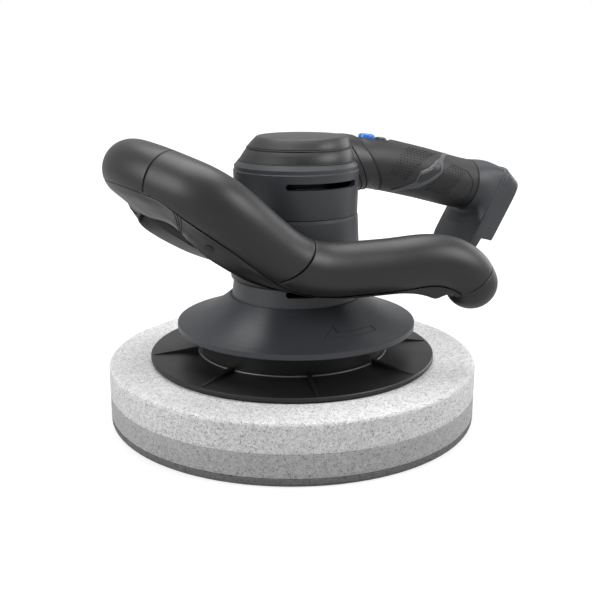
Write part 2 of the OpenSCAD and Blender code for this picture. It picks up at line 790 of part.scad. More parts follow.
// Soft skin of the whole grip, with room for the button strip and the inlay band
module grip_skin() {
    difference() {
        intersection() {
            handle_solid(1, handle_last - 0.02, 0, 11);
            behind(grip_line, grip_lean, seam);
        }
        handle_solid(0.5, handle_last + 0.5, -grip_t, 11);
        strip_space(seat);
        switch_space(seat);
        inlay_prism(seat);
    }
}

module grip_front() {
    color("#3c3c3c") difference() {
        grip_skin();
        behind([inlay_x, inlay_z], inlay_lean);
    }
}

module grip_rear() {
    color("#3c3c3c") intersection() {
        grip_skin();
        behind([inlay_x, inlay_z], inlay_lean);
    }
}

// Outline of the band in the side view: a wide slanted middle with a tail above and below
module inlay_outline(grow) {
    lean = tan(inlay_lean);
    tail = 3 + grow;
    half = 7.5 + grow;
    bulge_h = 14;
    top_h = 22;
    foot_h = -24;
    translate([inlay_x, inlay_z]) polygon([[-lean*bulge_h - half, 6 - bulge_h], [-half - 1, 1],
        [lean*bulge_h - half, bulge_h], [lean*top_h - tail, top_h], [lean*top_h + tail, top_h],
        [lean*bulge_h + half - 6, bulge_h - 5], [half + 1, -1], [-lean*bulge_h + half, -bulge_h],
        [lean*foot_h + tail, foot_h], [lean*foot_h - tail, foot_h]]);
}

module inlay_prism(grow) {
    rotate([90, 0, 0]) translate([0, 0, -handle_w]) linear_extrude(height = 2*handle_w) inlay_outline(grow);
}

module grip_inlay() {
    color("#56585c") difference() {
        intersection() {
            handle_solid(2, handle_last - 0.3, inlay_proud, 7);
            inlay_prism(0);
        }
        handle_solid(1.5, handle_last, -grip_t, 7);
    }
}

// Place of the button strip, level with the top of the handle
module on_strip() {
    translate([strip_x, 0, root_z + handle_front_h/2 - 2.6]) rotate([0, strip_lean, 0]) children();
}

module strip_space(grow) {
    on_strip() translate([0, 0, -strip_t]) linear_extrude(height = 30)
        polygon(round_rect(strip_l + 2*grow, strip_w + 2*grow, strip_w/2 - 1));
}

module switch_space(grow) {
    on_strip() translate([-switch_l/2 - grow, -switch_w/2 - grow, -strip_t - switch_h - grow])
        cube([switch_l + 2*grow, switch_w + 2*grow, switch_h + 2*grow]);
}

module button_outline(l, grow) {
    polygon(round_rect(l + 2*grow, button_w + 2*grow, min(l, button_w)/2 - 0.5));
}

module button_bezel() {
    color("#6a6c70") difference() {
        on_strip() translate([0, 0, -strip_t]) linear_extrude(height = strip_t + 0.6)
            polygon(round_rect(strip_l, strip_w, strip_w/2 - 1));
        on_strip() {
            translate([power_at, 0, -strip_t - 1]) linear_extrude(height = 3*strip_t)
                button_outline(power_l, key_gap);
            translate([stop_at, 0, -strip_t - 1]) linear_extrude(height = 3*strip_t)
                button_outline(stop_l, key_gap);
        }
    }
}

// A push button: a stem in the strip and a crowned key above it
module push_button(at, l, rise) {
    on_strip() translate([at, 0, 0]) intersection() {
        translate([0, 0, button_travel + run_gap - strip_t]) linear_extrude(height = strip_t + rise + 2)
            button_outline(l, 0);
        translate([0, 0, rise - key_crown_r]) sphere(r = key_crown_r);
    }
}

module power_button() {
    color("#2f73d0") push_button(power_at, power_l, button_rise + 1.2);
}

module stop_button() {
    color("#26282b") push_button(stop_at, stop_l, button_rise);
}

module switch_module() {
    color("#202022") on_strip() difference() {
        translate([-switch_l/2, -switch_w/2, -strip_t - switch_h]) cube([switch_l, switch_w, switch_h]);
        translate([-switch_l/2 - 1, -switch_w/2 + 2, -strip_t - switch_h - 1])
            cube([switch_l + 2, switch_w - 4, 4]);
    }
}

// Battery foot

module in_foot() {
    translate(foot_at) rotate([0, -foot_slope, 0]) children();
}

// The same place as a point, and the height of a point above the foot's front face
function foot_point(x, y, z) = foot_at
    + [x*cos(foot_slope) - z*sin(foot_slope), y, x*sin(foot_slope) + z*cos(foot_slope)];
function above_foot(p) = (foot_at[0] - p[0])*sin(foot_slope) + (p[2] - foot_at[2])*cos(foot_slope);

// Half-width l by w of a soft rectangle, at a direction from its middle
function soft_box(a, l, w) = let(k = pow(pow(abs(cos(a))/l, 5) + pow(abs(sin(a))/w, 5), -0.2))
    [k*cos(a), k*sin(a)];

// Neck that flares from the end of the handle to the foot
module foot_blend() {
    start = handle_last + 0.03;
    t = unit(curve(handle_route, start + 0.02) - curve(handle_route, start - 0.02));
    heading = [t[0], 0, t[1]];
    first = handle_ring(start, 0);
    ribs = [for (i = [0:handle_sides - 1])
        let(p = first[i], box = soft_box(360*i/handle_sides, 0.36*foot_l, foot_w/2 - 2.5))
        bend(p, p + 0.95*above_foot(p)*heading, foot_point(0.62*foot_l + box[0], box[1], -1.5), blend_steps)];
    loft([for (k = [0:blend_steps]) [for (rib = ribs) rib[k]]]);
}

module battery_foot() {
    pocket_w = foot_w - 2*foot_wall;
    color("#46484c") union() {
        in_foot() difference() {
            translate([foot_l/2, 0, -foot_t]) linear_extrude(height = foot_t)
                polygon(round_rect(foot_l, foot_w, foot_corner));
            translate([-1, -foot_w, -foot_t - 1]) cube([rear_start + 1, 2*foot_w, recess_t + 1]);
            translate([-1, -pocket_w/2, -foot_t - 1])
                cube([foot_l - foot_wall + 1, pocket_w, recess_t + 1]);
        }
        foot_blend();
    }
}

module battery_rails() {
    pocket_w = foot_w - 2*foot_wall;
    rail_l = foot_l - foot_wall - rear_start - 4;
    color("#5a5c60") in_foot() for (side = [-1, 1])
        translate([rear_start + 2, side*(pocket_w/2 - rail_w/2) - rail_w/2, -foot_t + 1])
            cube([rail_l, rail_w, rail_t]);
}

module terminal_block() {
    color("#1e1e20") in_foot() translate([foot_l - foot_wall - terminal_l, -terminal_w/2, -foot_t + 2])
        cube([terminal_l, terminal_w, recess_t - 2]);
}

module terminal_blades() {
    color("#c9a45a") in_foot() for (i = [0:terminal_count - 1])
        translate([foot_l - foot_wall - terminal_l - 9, (i - (terminal_count - 1)/2)*blade_pitch - 0.4,
            -foot_t + 3.5]) cube([9, 0.8, recess_t - 5]);
}

// Bow handle

function bow_at(s) = s >= 0 ? curve(bow_route, s + 1) : flip_y(curve(bow_route, 1 - s));
function bow_heading(s) = unit(bow_at(s + 0.02) - bow_at(s - 0.02));
function bow_r(s) = mix(bow_front_d, bow_rear_d, smooth((abs(s) - 2)/1.5))/2;

// Places an outline, given as sideways and upwards distances, across the bow at s
function across_bow(s, outline) =
    let(c = bow_at(s), t = bow_heading(s), side = unit(cross([0, 0, 1], t)), up = cross(t, side))
    [for (p = outline) c + side*p[0] + up*p[1]];

// How far a cover reaches round the tube from its top, in degrees
function lip(s) = let(u = abs(s))
    mix(front_lip, rear_lip, smooth((u - 1)/1.2)) - scoop_lip*smooth((u - 4.4)/0.6);

// The outlines lean so that their lower parts stand further forward, most of all where grip and arm meet
function bow_tilt(s) =
    let(u = abs(s), rise = (u - cover_s)/(grip_s - cover_s), fall = (arm_s - u)/(arm_s - grip_s))
    sign(s)*grip_tilt*max(0, min(rise, fall));
function leaning(s, outline) = [for (p = outline) across_bow(s + bow_tilt(s)*(1 - p[1]/norm(p))/2, [p])[0]];
function lip_edge(s) = lip(s + bow_tilt(s)*(1 - cos(lip(s)))/2);

// Outline of a cover, a tube that is open below
function cover_section(s) =
    let(r = bow_r(s), edge = lip_edge(s), turns = [for (i = [0:lip_steps]) mix(-edge, edge, i/lip_steps)])
    concat([for (a = turns) [r*sin(a), r*cos(a)]],
        [for (a = turns) [-(r - cover_t)*sin(a), (r - cover_t)*cos(a)]]);

// Places along the bow where its outlines stand: both ends, and even steps between them
function bow_steps(s0, s1) = concat([s0],
    [for (i = [ceil(s0/bow_step + 0.1):floor(s1/bow_step - 0.1)]) i*bow_step], [s1]);

module bow_cover(s0, s1) {
    loft([for (s = bow_steps(s0, s1)) leaning(s, cover_section(s))]);
}

// How far the frame reaches below the centre line: deep in front, less under the fingers, close under
// the arms, with a scoop where the arms bend down
function frame_depth(s) =
    let(u = abs(s), front = mix(finger_depth, finger_depth + 4.5, smooth(u/0.8)),
        grip = mix(front, finger_depth, smooth((u - 1.2)/0.8)), rear = bow_rear_d/2 + 0.6)
    mix(grip, rear, smooth((u - 2)/1.4)) + 5*smooth((u - 4.5)/0.6)*(1 - smooth((u - 5.5)/0.9));

// Share of the way from a free arm to the hub
function on_hub(s) = let(u = abs(s)) smooth((u - 1.9)/1.2)*(1 - smooth((u - 3.8)/0.5));

// Half of the frame's section: round inside the cover, a shoulder under the cover's lip,
// then drawn in for the fingers, then swelling to the foot; on the hub it spreads to the neck.
// Each place below the lip has its share of the width, its share of the depth, and how far
// it is pushed towards the neck in front, where the foot stands further inwards
function frame_half(s, hub, places) =
    let(low = s + bow_tilt(s), p = bow_at(low), r = bow_r(s), edge = lip_edge(s),
        core = r - cover_t - bow_seat, ledge = r*cos(edge),
        stem = (r - cover_t)*sin(edge) - bow_seat - 0.2, w = r*sin(edge) - 0.3,
        push = 1 - smooth((abs(low) - 1.2)/1.2),
        spread = hub*(norm([p[0], p[1]]) - neck_r - 0.3*w + 1.5),
        depth = mix(frame_depth(low), r + 4, hub), step = 2*edge/lip_steps)
    concat([for (i = [0:lip_steps/2 - 1]) [core*sin(step*i), core*cos(step*i)]],
        [[stem, -sqrt(core*core - stem*stem)], [stem, ledge - lip_gap]],
        [for (q = places) [w*q[0] + q[2]*push + spread, mix(ledge - 2*lip_gap, -depth, q[1])]]);

function frame_section(s) =
    let(inner = frame_half(s, on_hub(s + bow_tilt(s)), [[1, 0, 0], [0.94, 0.27, 0], [0.84, 0.53, 0],
            [0.86, 0.74, 0], [0.62, 0.93, 1.7], [0.3, 1, 4.3]]),
        outer = frame_half(s, 0, [[1, 0, 0], [0.94, 0.27, -2.5], [0.84, 0.53, -7.5],
            [0.86, 0.74, -14], [0.62, 0.93, -14.5], [0.3, 1, -11.5]]), n = len(outer))
    concat([for (i = [n - 1:-1:1]) [-outer[i][0], outer[i][1]]], inner);

module bow_frame() {
    last = arm_s - 0.01;
    stops = [-last, -grip_s, -cover_s, cover_s, grip_s, last];
    spans = [for (i = [0:len(stops) - 2]) bow_steps(stops[i], stops[i + 1])];
    steps = concat([for (row = spans, k = [0:len(row) - 2]) row[k]], [last]);
    hole_h = finger_depth + 10;
    color("#38383a") difference() {
        union() {
            loft([for (s = steps) leaning(s, frame_section(s))]);
            translate([0, 0, hub_z]) rotate_extrude() polygon([[neck_r - 1, 0], [neck_r + hub_t - 1, 0],
                [neck_r + hub_t, 2], [neck_r + hub_t, hub_h - 4], [neck_r + 1, hub_h], [neck_r - 1, hub_h]]);
        }
        translate([0, 0, neck_z]) cylinder(r = neck_r + seat, h = neck_h + 4);
        at_bow_screws() {
            translate([0, 0, -hole_h]) cylinder(r = screw_head_r + run_gap, h = hole_h - bow_screw_drop);
            translate([0, 0, -hole_h]) cylinder(r = screw_r + run_fit, h = hole_h + bow_screw_drop);
        }
    }
}

// Screw places under the finger grips, along the section's upright
module at_bow_screws() {
    for (side = [1, -1], s = bow_screw_s) {
        p = bow_at(side*s);
        t = bow_heading(side*s);
        lean = asin(t[2]);
        turn = atan2(t[1], t[0]);
        translate(p) rotate([0, 0, turn]) rotate([0, -lean, 0]) children();
    }
}

module bow_screws() {
    color("#7c7f83") at_bow_screws() {
        translate([0, 0, -bow_screw_drop - screw_head_h]) cylinder(r = screw_head_r, h = screw_head_h);
        translate([0, 0, -bow_screw_drop]) cylinder(r = screw_r, h = 2*bow_screw_drop - 2);
    }
}

module bow_front_cover() {
    edge = cover_s - 0.01;
    color("#434343") bow_cover(-edge, edge);
}

module bow_grip_near() {
    color("#3d3d3d") bow_cover(cover_s + 0.01, grip_s - 0.01);
}

module bow_grip_far() {
    mirror([0, 1, 0]) bow_grip_near();
}

module bow_arm_near() {
    color("#434343") bow_cover(grip_s + 0.01, arm_s - 0.01);
}

module bow_arm_far() {
    mirror([0, 1, 0]) bow_arm_near();
}

// Rounded nose that closes the arm
module bow_end_near() {
    s0 = arm_s + 0.01;
    s1 = nose_s;
    round = function (r) [for (i = [0:end_sides - 1]) let(a = 360*i/end_sides) [r*sin(a), r*cos(a)]];
    straight = [for (i = [0:3]) let(s = mix(s0, s1, i/3)) across_bow(s, round(bow_r(s)))];
    r = bow_r(s1);
    heading = bow_heading(s1);
    dome = [for (b = [15:15:75]) [for (p = across_bow(s1, round(r*cos(b)))) p + heading*(0.8*r*sin(b))]];
    color("#434343") loft(concat(straight, dome));
}

module bow_end_far() {
    mirror([0, 1, 0]) bow_end_near();
}

foam_dark();
foam_mid();
foam_light();
hook_sheet();
backing_plate();
pad_collar();
collar_screws();
pad_spindle();
spindle_clip();
spindle_bolt();
eccentric_hub();
pad_bearing();
motor_shaft();
armature_core();
armature_windings();
commutator();
cooling_fan();
motor_can();
motor_magnets();
motor_end_bell();
brush_holders();
carbon_brushes();
lower_bearing();
upper_bearing();
motor_screws();
skirt();
skirt_screws();
neck_housing();
upper_barrel();
cap_tier();
top_cap();
handle_core();
grip_front();
grip_rear();
grip_inlay();
switch_module();
button_bezel();
power_button();
stop_button();
battery_foot();
battery_rails();
terminal_block();
terminal_blades();
bow_frame();
bow_front_cover();
bow_grip_near();
bow_grip_far();
bow_arm_near();
bow_arm_far();
bow_end_near();
bow_end_far();
bow_screws();
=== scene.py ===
"""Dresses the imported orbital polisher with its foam, mouldings, grips, keys and finishes."""

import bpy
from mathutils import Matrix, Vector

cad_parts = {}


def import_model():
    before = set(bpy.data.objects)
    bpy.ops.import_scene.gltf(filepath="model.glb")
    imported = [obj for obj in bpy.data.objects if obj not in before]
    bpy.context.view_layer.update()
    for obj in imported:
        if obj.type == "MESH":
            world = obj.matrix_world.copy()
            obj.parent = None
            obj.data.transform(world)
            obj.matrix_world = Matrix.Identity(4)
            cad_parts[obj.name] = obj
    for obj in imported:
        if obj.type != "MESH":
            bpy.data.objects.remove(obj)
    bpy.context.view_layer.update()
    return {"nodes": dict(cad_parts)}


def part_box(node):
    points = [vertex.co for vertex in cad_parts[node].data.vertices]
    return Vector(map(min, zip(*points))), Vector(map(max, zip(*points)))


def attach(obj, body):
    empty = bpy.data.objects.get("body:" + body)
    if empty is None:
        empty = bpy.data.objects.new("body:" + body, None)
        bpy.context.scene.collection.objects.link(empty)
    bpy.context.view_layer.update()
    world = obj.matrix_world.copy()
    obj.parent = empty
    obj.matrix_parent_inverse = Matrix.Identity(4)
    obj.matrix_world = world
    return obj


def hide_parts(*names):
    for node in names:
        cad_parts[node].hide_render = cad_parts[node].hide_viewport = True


bl_info = {
    "name": "Orbital Polisher",
    "version": (1, 0, 0),
    "blender": (4, 5, 0),
    "location": "View3D > Sidebar > Polisher",
    "description": "Foam pad, moulded handles, keys and finishes for a hand-held orbital polisher",
    "category": "Object",
}

from functools import cache
from math import asin, cos, hypot, pi, radians, sin, sqrt

import bmesh
import bpy
from bpy.props import FloatProperty, FloatVectorProperty, PointerProperty
from mathutils import Matrix, Vector, noise

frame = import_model()
NODES = frame["nodes"]
MM = 0.001
TURN = 2*pi

# Centre line of the near half of the bow, in millimetres: a point past the apex on the far side, the apex,
# and on to the nose
BOW_ROUTE = [(-98.6, 35.3, 167.2), (-110, 0, 173.2), (-98.6, -35.3, 167.2), (-79.3, -56, 155),
             (-31.8, -60, 117.1), (16, -69, 113), (52.1, -78.5, 115), (71.2, -83, 109.8), (82.7, -84, 98),
             (86.5, -84, 79.2)]
# Places along the bow where its covers meet, and how far the grip's end leads below the tube
COVER_END, GRIP_END, ARM_END, NOSE_START, GRIP_TILT = 0.78, 3.07, 6.72, 7.0, -0.25
COVER_WALL = 2.4
# Radius of the bow's tube on the grips and on the arms
GRIP_R, ARM_R = 18.5, 17
# Each side of the frame below its lip: share of the half width, share of the depth, how far the place is
# drawn towards the neck, and how far it is set back under the grip's lip
FRAME_INSIDE = [(1, 0, 0, 0), (0.98, 0.1, 0, 0), (0.94, 0.27, 0, 0), (0.86, 0.48, 0, 0), (0.8, 0.66, 0, 0),
                (0.6, 0.83, 1.7, 0), (0.3, 0.94, 4.3, 0)]
FRAME_OUTSIDE = [(1, 0, 0, 0), (0.98, 0.1, -0.7, -2.2), (0.94, 0.27, -2.5, -3.2), (0.86, 0.53, -7.5, -2.4),
                 (0.82, 0.74, -12, -1.2), (0.62, 0.93, -13.6, -0.4), (0.32, 1, -11.4, 0)]
NECK_R = 42.25
# Centre line of the rear handle in the middle plane, in millimetres, and the place of its end
HANDLE_ROUTE = [(20, 168.3), (44, 168.3), (60, 168.1), (95.5, 160.1), (128.9, 151.1), (142, 148.1),
                (152, 145.5)]
HANDLE_LAST = 5
# Height of the handle where it leaves the cap and at its end, and half its width
HANDLE_HIGH, HANDLE_HIGH_END, HANDLE_HALF = 36, 36.5, 17
# Lower end and slope of the battery foot
FOOT_AT, FOOT_SLOPE = Vector((129.3, 0, 102.6)), radians(58)
# Half length, half width, corner and thickness of the foot's slab, and the thickness of its front
FOOT_LONG, FOOT_WIDE, FOOT_CORNER, FOOT_THICK, FOOT_SKIN = 33, 23.6, 6.6, 17, 6
# Middle and lean of the key strip
STRIP_AT, STRIP_LEAN = Vector((61, 0, 183.7)), radians(8)
# Distance of the pad's axis from the motor's, and the pad's radius and height
ORBIT, PAD_R, PAD_HIGH = 3.0, 125, 40.0
# Rounding where two layers of foam are bonded, and waves of the cut face for each millimetre
LAYER_EDGE, FOAM_WAVES = 0.6, 0.35
# Radius, width and height above the plate of the pale bead at the collar's foot, a painted highlight along
# its edge
BEAD_R, BEAD_WIDTH, BEAD_LIFT = 64.5, 1.0, 0.35
# Slope of the skirt as radius and height: its rim, the point it bends towards, and its top
SKIRT_RIM, SKIRT_BEND, SKIRT_TOP = (81, 65), (61, 69.5), (45.45, 83)


def linear(code):
    """Turns an sRGB hex value into linear red, green and blue."""
    parts = [int(code[i:i + 2], 16)/255 for i in (1, 3, 5)]
    return tuple(c/12.92 if c <= 0.04045 else ((c + 0.055)/1.055)**2.4 for c in parts)


def colour(name, about, code):
    """A colour that a user can change."""
    return FloatVectorProperty(name=name, description="Colour of " + about, subtype="COLOR", size=3, min=0,
                               max=1, default=linear(code))


def length(name, about, size):
    """A length that a user can change, given in millimetres."""
    return FloatProperty(name=name, description=about, default=size*MM, min=0, unit="LENGTH")


class PolisherColours(bpy.types.PropertyGroup):
    """Colours of the polisher's materials."""
    foam_light: colour("Pale foam", "the pad's top layer", "#ececec")
    foam_mid: colour("Grey foam", "the pad's middle layer", "#bebebe")
    foam_dark: colour("Dark foam", "the pad's finishing layer", "#757575")
    housing: colour("Housing", "the skirt, the barrel and the foot", "#36383c")
    cap: colour("Cap and covers", "the cap and of the bow's covers", "#1b1b1b")
    grip: colour("Soft grip", "the soft grips", "#181818")
    plate: colour("Backing plate", "the backing plate", "#101010")
    collar: colour("Collar", "the collar on the backing plate", "#1f1f1f")
    trim: colour("Trim", "the inlay and the key strip", "#50535a")
    power_key: colour("Power key", "the power key", "#2f73d0")
    stop_key: colour("Stop key", "the stop key", "#26282b")


class PolisherSizes(bpy.types.PropertyGroup):
    """Sizes of the details that the solids don't carry."""
    foam_edge: length("Foam rounding", "Rounding of the pad's outer edges", 2.5)
    foam_fuzz: length("Foam unevenness", "How far the cut face of the foam wanders", 0.15)
    edge_round: length("Cover rounding", "Rounding of a cover's ends at a seam", 0.7)
    dash_length: length("Dash length", "Length of a grip dash", 2.1)
    dash_width: length("Dash width", "Width of a grip dash", 0.8)
    dash_height: length("Dash height", "Height of a grip dash", 0.35)
    seam_width: length("Seam width", "Width of a moulded seam line", 0.7)
    groove_width: length("Groove width", "Width of the grooves round the cap", 1.1)
    arrow_width: length("Arrow line", "Width of the arrow's line on the skirt", 0.55)


# Materials

def put(tree, kind, sets=None, links=None):
    """Adds a node with its settings and its links."""
    node = tree.nodes.new(kind)
    for key, value in (sets or {}).items():
        if isinstance(key, int) or key in node.inputs:
            node.inputs[key].default_value = value
        else:
            setattr(node, key, value)
    for key, socket in (links or {}).items():
        tree.links.new(socket, node.inputs[key])
    return node


def start_material(name):
    """An empty material with its node tree, and the Object coordinates for its patterns."""
    material = bpy.data.materials.new(name)
    material.use_nodes = True
    tree = material.node_tree
    tree.nodes.clear()
    return material, tree, put(tree, "ShaderNodeTexCoord").outputs["Object"]


def end_material(material, sets, links):
    """Gives a material its one Principled shader."""
    tree = material.node_tree
    shader = put(tree, "ShaderNodeBsdfPrincipled", sets, links)
    put(tree, "ShaderNodeOutputMaterial", links={"Surface": shader.outputs["BSDF"]})
    return material


def shade(rgb, factor):
    """A lighter or darker form of a colour."""
    return tuple(min(1, c*factor) for c in rgb) + (1,)


def grained(tree, coords, size, detail, **more):
    """Noise with a grain of that size in millimetres."""
    sets = {"Scale": 1/(size*MM), "Detail": detail, **more}
    return put(tree, "ShaderNodeTexNoise", sets, {"Vector": coords}).outputs[0]


def spread(tree, value, low, high, first=0.0, last=1.0):
    """A value from low to high, spread from first to last."""
    sets = {"From Min": low, "From Max": high, "To Min": first, "To Max": last}
    return put(tree, "ShaderNodeMapRange", sets, {"Value": value}).outputs[0]


def toned(tree, share, low, high):
    """A tone between two colours, of which the first may come from another node."""
    sets, links = {"data_type": "RGBA", 7: high}, {0: share}
    (sets if isinstance(low, tuple) else links)[6] = low
    return put(tree, "ShaderNodeMix", sets, links).outputs[2]


def moulded_plastic(name, rgb, roughness, grain=1.1, depth=0.02):
    """Injection-moulded plastic: a matt spark-eroded grain and a slow drift in gloss and tone.

    The real grain is about 0.3 mm, which the render can't show, so it is drawn at the size given here.
    """
    material, tree, coords = start_material(name)
    fine = grained(tree, coords, grain, 3.0)
    slow = grained(tree, coords, 40, 2.0)
    gloss = spread(tree, slow, 0.3, 0.7, roughness - 0.04, roughness + 0.04)
    tone = toned(tree, fine, shade(rgb, 0.93), shade(rgb, 1.07))
    bump = put(tree, "ShaderNodeBump", {"Strength": 0.35, "Distance": depth*MM}, {"Height": fine})
    return end_material(material, {"IOR": 1.5},
                        {"Base Color": tone, "Roughness": gloss, "Normal": bump.outputs[0]})


def sliced_foam(name, rgb, pore_tone):
    """Open-cell polyurethane foam, cut with a knife: pale walls, grey clouds and dark pores here and there.

    The real cells are about 0.4 mm, which the render can't show, so the pores are drawn at 1.1 mm.
    """
    material, tree, coords = start_material(name)
    clouds = grained(tree, coords, 2.6, 4.0, Roughness=0.7)
    walls = toned(tree, spread(tree, clouds, 0.36, 0.62), shade(rgb, 0.84), shade(rgb, 1.06))
    pores = spread(tree, grained(tree, coords, 1.1, 2.0, Roughness=0.6, Distortion=1.6), 0.53, 0.63)
    tone = toned(tree, pores, walls, shade(rgb, pore_tone))
    bump = put(tree, "ShaderNodeBump", {"Strength": 0.5, "Distance": 0.4*MM, "invert": True},
               {"Height": pores})
    return end_material(material, {"Roughness": 0.95, "Sheen Weight": 0.1},
                        {"Base Color": tone, "Normal": bump.outputs[0]})


def worked_metal(name, rgb, roughness, streak):
    """Turned, drawn or plated metal: fine streaks from the tool that vary its gloss."""
    material, tree, coords = start_material(name)
    turned = put(tree, "ShaderNodeMapping", {"Scale": (1, 1, 12)}, {"Vector": coords})
    lines = grained(tree, turned.outputs[0], streak, 3.0)
    gloss = spread(tree, lines, 0, 1, roughness - 0.08, roughness + 0.1)
    tone = toned(tree, lines, shade(rgb, 0.85), shade(rgb, 1.1))
    return end_material(material, {"Metallic": 1.0}, {"Base Color": tone, "Roughness": gloss})


@cache
def finish(name):
    """The finish of that name, made once."""
    c = bpy.context.scene.polisher_colours
    foams = {
        "pale_foam": (c.foam_light, 0.38),
        "grey_foam": (c.foam_mid, 0.4),
        "dark_foam": (c.foam_dark, 0.36),
    }
    plastics = {
        # Glass-filled nylon, moulded: slate grey, even and half matt
        "slate_nylon": (c.housing, 0.42),
        # ABS, moulded and spark-eroded: charcoal with a soft sheen
        "charcoal_abs": (c.cap, 0.43),
        # Thermoplastic rubber, moulded over the hard core: a little darker and matt
        "soft_tpe": (c.grip, 0.52, 0.9, 0.03),
        # Polypropylene, moulded: near black with a low gloss
        "black_polypropylene": (c.plate, 0.4, 1.4),
        "collar_polypropylene": (c.collar, 0.45, 1.4),
        # The same plastic painted pale: a painted highlight along the collar's foot edge
        "bead_polypropylene": (linear("#6a6a6a"), 0.35),
        # ABS, moulded smooth: grey, with a little more gloss than the housing
        "trim_abs": (c.trim, 0.38),
        # Polished ABS keys: clear reflections of the lamps
        "power_key_abs": (c.power_key, 0.28, 0.8, 0.005),
        "stop_key_abs": (c.stop_key, 0.34, 0.8, 0.005),
        # The same rubber as the grip, painted darker on the dashes: painted shade for the shadows of the
        # raised dashes
        "dash_tpe": (linear("#0f0f0f"), 0.5, 0.9, 0.01),
        # Smoked ABS panel set into the band
        "window_abs": (linear("#1d1e21"), 0.35),
        # Painted shade: the shadowed bottom of a groove, seam, slit or hole, drawn dark in the same plastic
        # as its neighbours
        "groove_abs": (linear("#0c0c0c"), 0.6),
        # Nylon hook fabric, woven: dull and rough
        "hook_nylon": (linear("#1c1c1c"), 0.85, 0.7, 0.2),
        # Nylon, moulded, inside the housing: dark and matt
        "inner_nylon": (linear("#262628"), 0.55),
    }
    metals = {
        # Steel with zinc plate: grey with a soft shine
        "zinc_plate": (linear("#8f9296"), 0.38, 2.0),
        # Steel, turned: bright, with fine rings
        "turned_steel": (linear("#b9babc"), 0.3, 1.2),
        # Zinc, die-cast: dull grey
        "cast_zinc": (linear("#7c7e82"), 0.5, 3.0),
        # Copper, drawn: warm and half bright
        "drawn_copper": (linear("#b4703a"), 0.34, 0.8),
    }
    for maker, settings in ((sliced_foam, foams), (moulded_plastic, plastics), (worked_metal, metals)):
        if name in settings:
            return maker(name, *settings[name])
    raise KeyError(name)


# Meshes

# Angle between two faces from which their edge is shaded as sharp
SHARP_ANGLE = radians(38)


def wrap(around, along, surface, fill=True):
    """A grid laid onto a surface, which is given as a function of two shares from 0 to 1."""
    bm = bmesh.new()
    bmesh.ops.create_grid(bm, x_segments=around, y_segments=along, size=0.5)
    for vert in bm.verts:
        vert.co = surface(vert.co.x + 0.5, vert.co.y + 0.5)*MM
    bmesh.ops.remove_doubles(bm, verts=bm.verts, dist=0.002*MM)
    if fill:
        bmesh.ops.holes_fill(bm, edges=[e for e in bm.edges if e.is_boundary], sides=0)
    bmesh.ops.recalc_face_normals(bm, faces=bm.faces)
    return bm


def sided(p, side):
    """The same place, or the one on the far side of the middle plane where side is -1."""
    return Vector((p.x, side*p.y, p.z))


def sweep(around, rows, place, fill=True, side=1):
    """A grid with a line for each row, laid by a function of the share along the line and the row."""
    last = len(rows) - 1
    return wrap(around, last, lambda u, v: sided(place(u, rows[round(v*last)]), side), fill)


def on_circle(radius, turn, z, middle=0):
    """A place on a level circle."""
    return Vector((middle + radius*cos(turn), radius*sin(turn), z))


def add(name, data):
    """A new object in the scene."""
    made = bpy.data.objects.new(name, data)
    bpy.context.scene.collection.objects.link(made)
    return made


def piece(bm, name, look, slot, stands_for=(), body="housing"):
    """Makes a bmesh an object that rides on a body, with its finish and the CAD nodes it stands for."""
    mesh = bpy.data.meshes.new(name)
    bm.to_mesh(mesh)
    bm.free()
    for face in mesh.polygons:
        face.use_smooth = True
    mesh.set_sharp_from_angle(angle=SHARP_ANGLE)
    made = add(name, mesh)
    mesh.materials.append(finish(look))
    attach(made, body)
    if stands_for:
        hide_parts(*stands_for)
    return made


def dress(look, *names):
    """Gives CAD nodes whose shape is right a finish of this scene."""
    for name in names:
        for holder in NODES[name].material_slots:
            holder.material = finish(look)


def mix(a, b, t):
    """The value at share t between a and b."""
    return a + (b - a)*t


def ease(t):
    """A smooth step from 0 to 1."""
    t = min(1, max(0, t))
    return t*t*(3 - 2*t)


def on_curve(points, s):
    """A smooth curve through points, where s counts the points."""
    i = min(max(int(s), 0), len(points) - 2)
    t = s - i
    a, b, c, d = (Vector(points[j]) for j in (max(i - 1, 0), i, i + 1, min(i + 2, len(points) - 1)))
    return 0.5*(2*b + (c - a)*t + (2*a - 5*b + 4*c - d)*t*t + (3*b - a - 3*c + d)*t**3)


def line_tube(name, points, width, slot, closed=False, look="groove_abs", body="housing"):
    """A thin round line along points that lie on a surface, half sunk in it; by default dark, as painted
    shade in a groove.
    """
    count = len(points)
    steps = count if closed else count - 1
    rings = []
    side = None
    for k in range(steps + 1):
        ahead = points[(k + 1) % count] if closed or k < steps else points[k]
        back = points[k - 1] if closed or k > 0 else points[k]
        heading = (ahead - back).normalized()
        side = heading.orthogonal() if side is None else side - heading*side.dot(heading)
        side = side.normalized()
        rings.append((points[k % count], side, heading.cross(side)))

    def place(u, ring):
        p, side, other = ring
        return p + (side*cos(TURN*u) + other*sin(TURN*u))*(width/2)

    return piece(sweep(8, rings, place, not closed), name, look, slot, body=body)


# The bow

def bow_line(s):
    """The bow's centre line through its route: 0 is the apex in front, and the far side is negative."""
    return sided(on_curve(BOW_ROUTE, 1 + abs(s)), 1 if s >= 0 else -1)


def evened(s):
    """The same line with its bends evened out over a few millimetres."""
    step, shares = 0.12, (1, 6, 15, 20, 15, 6, 1)
    return sum((bow_line(s + step*(k - 3))*share for k, share in enumerate(shares)), Vector())/sum(shares)


LINE_STEP, LINE_COUNT = 0.25, 38
BOW_LINE = [evened(LINE_STEP*k - 1) for k in range(LINE_COUNT)]


def bow_point(s):
    """The bow's evened centre line."""
    return sided(on_curve(BOW_LINE, (1 + abs(s))/LINE_STEP), 1 if s >= 0 else -1)


@cache
def bow_axes(s):
    """Centre of the bow at s, with its inward, upward and forward directions."""
    heading = (bow_point(s + 0.02) - bow_point(s - 0.02)).normalized()
    inward = Vector((0, 0, 1)).cross(heading).normalized()
    return bow_point(s), inward, heading.cross(inward), heading


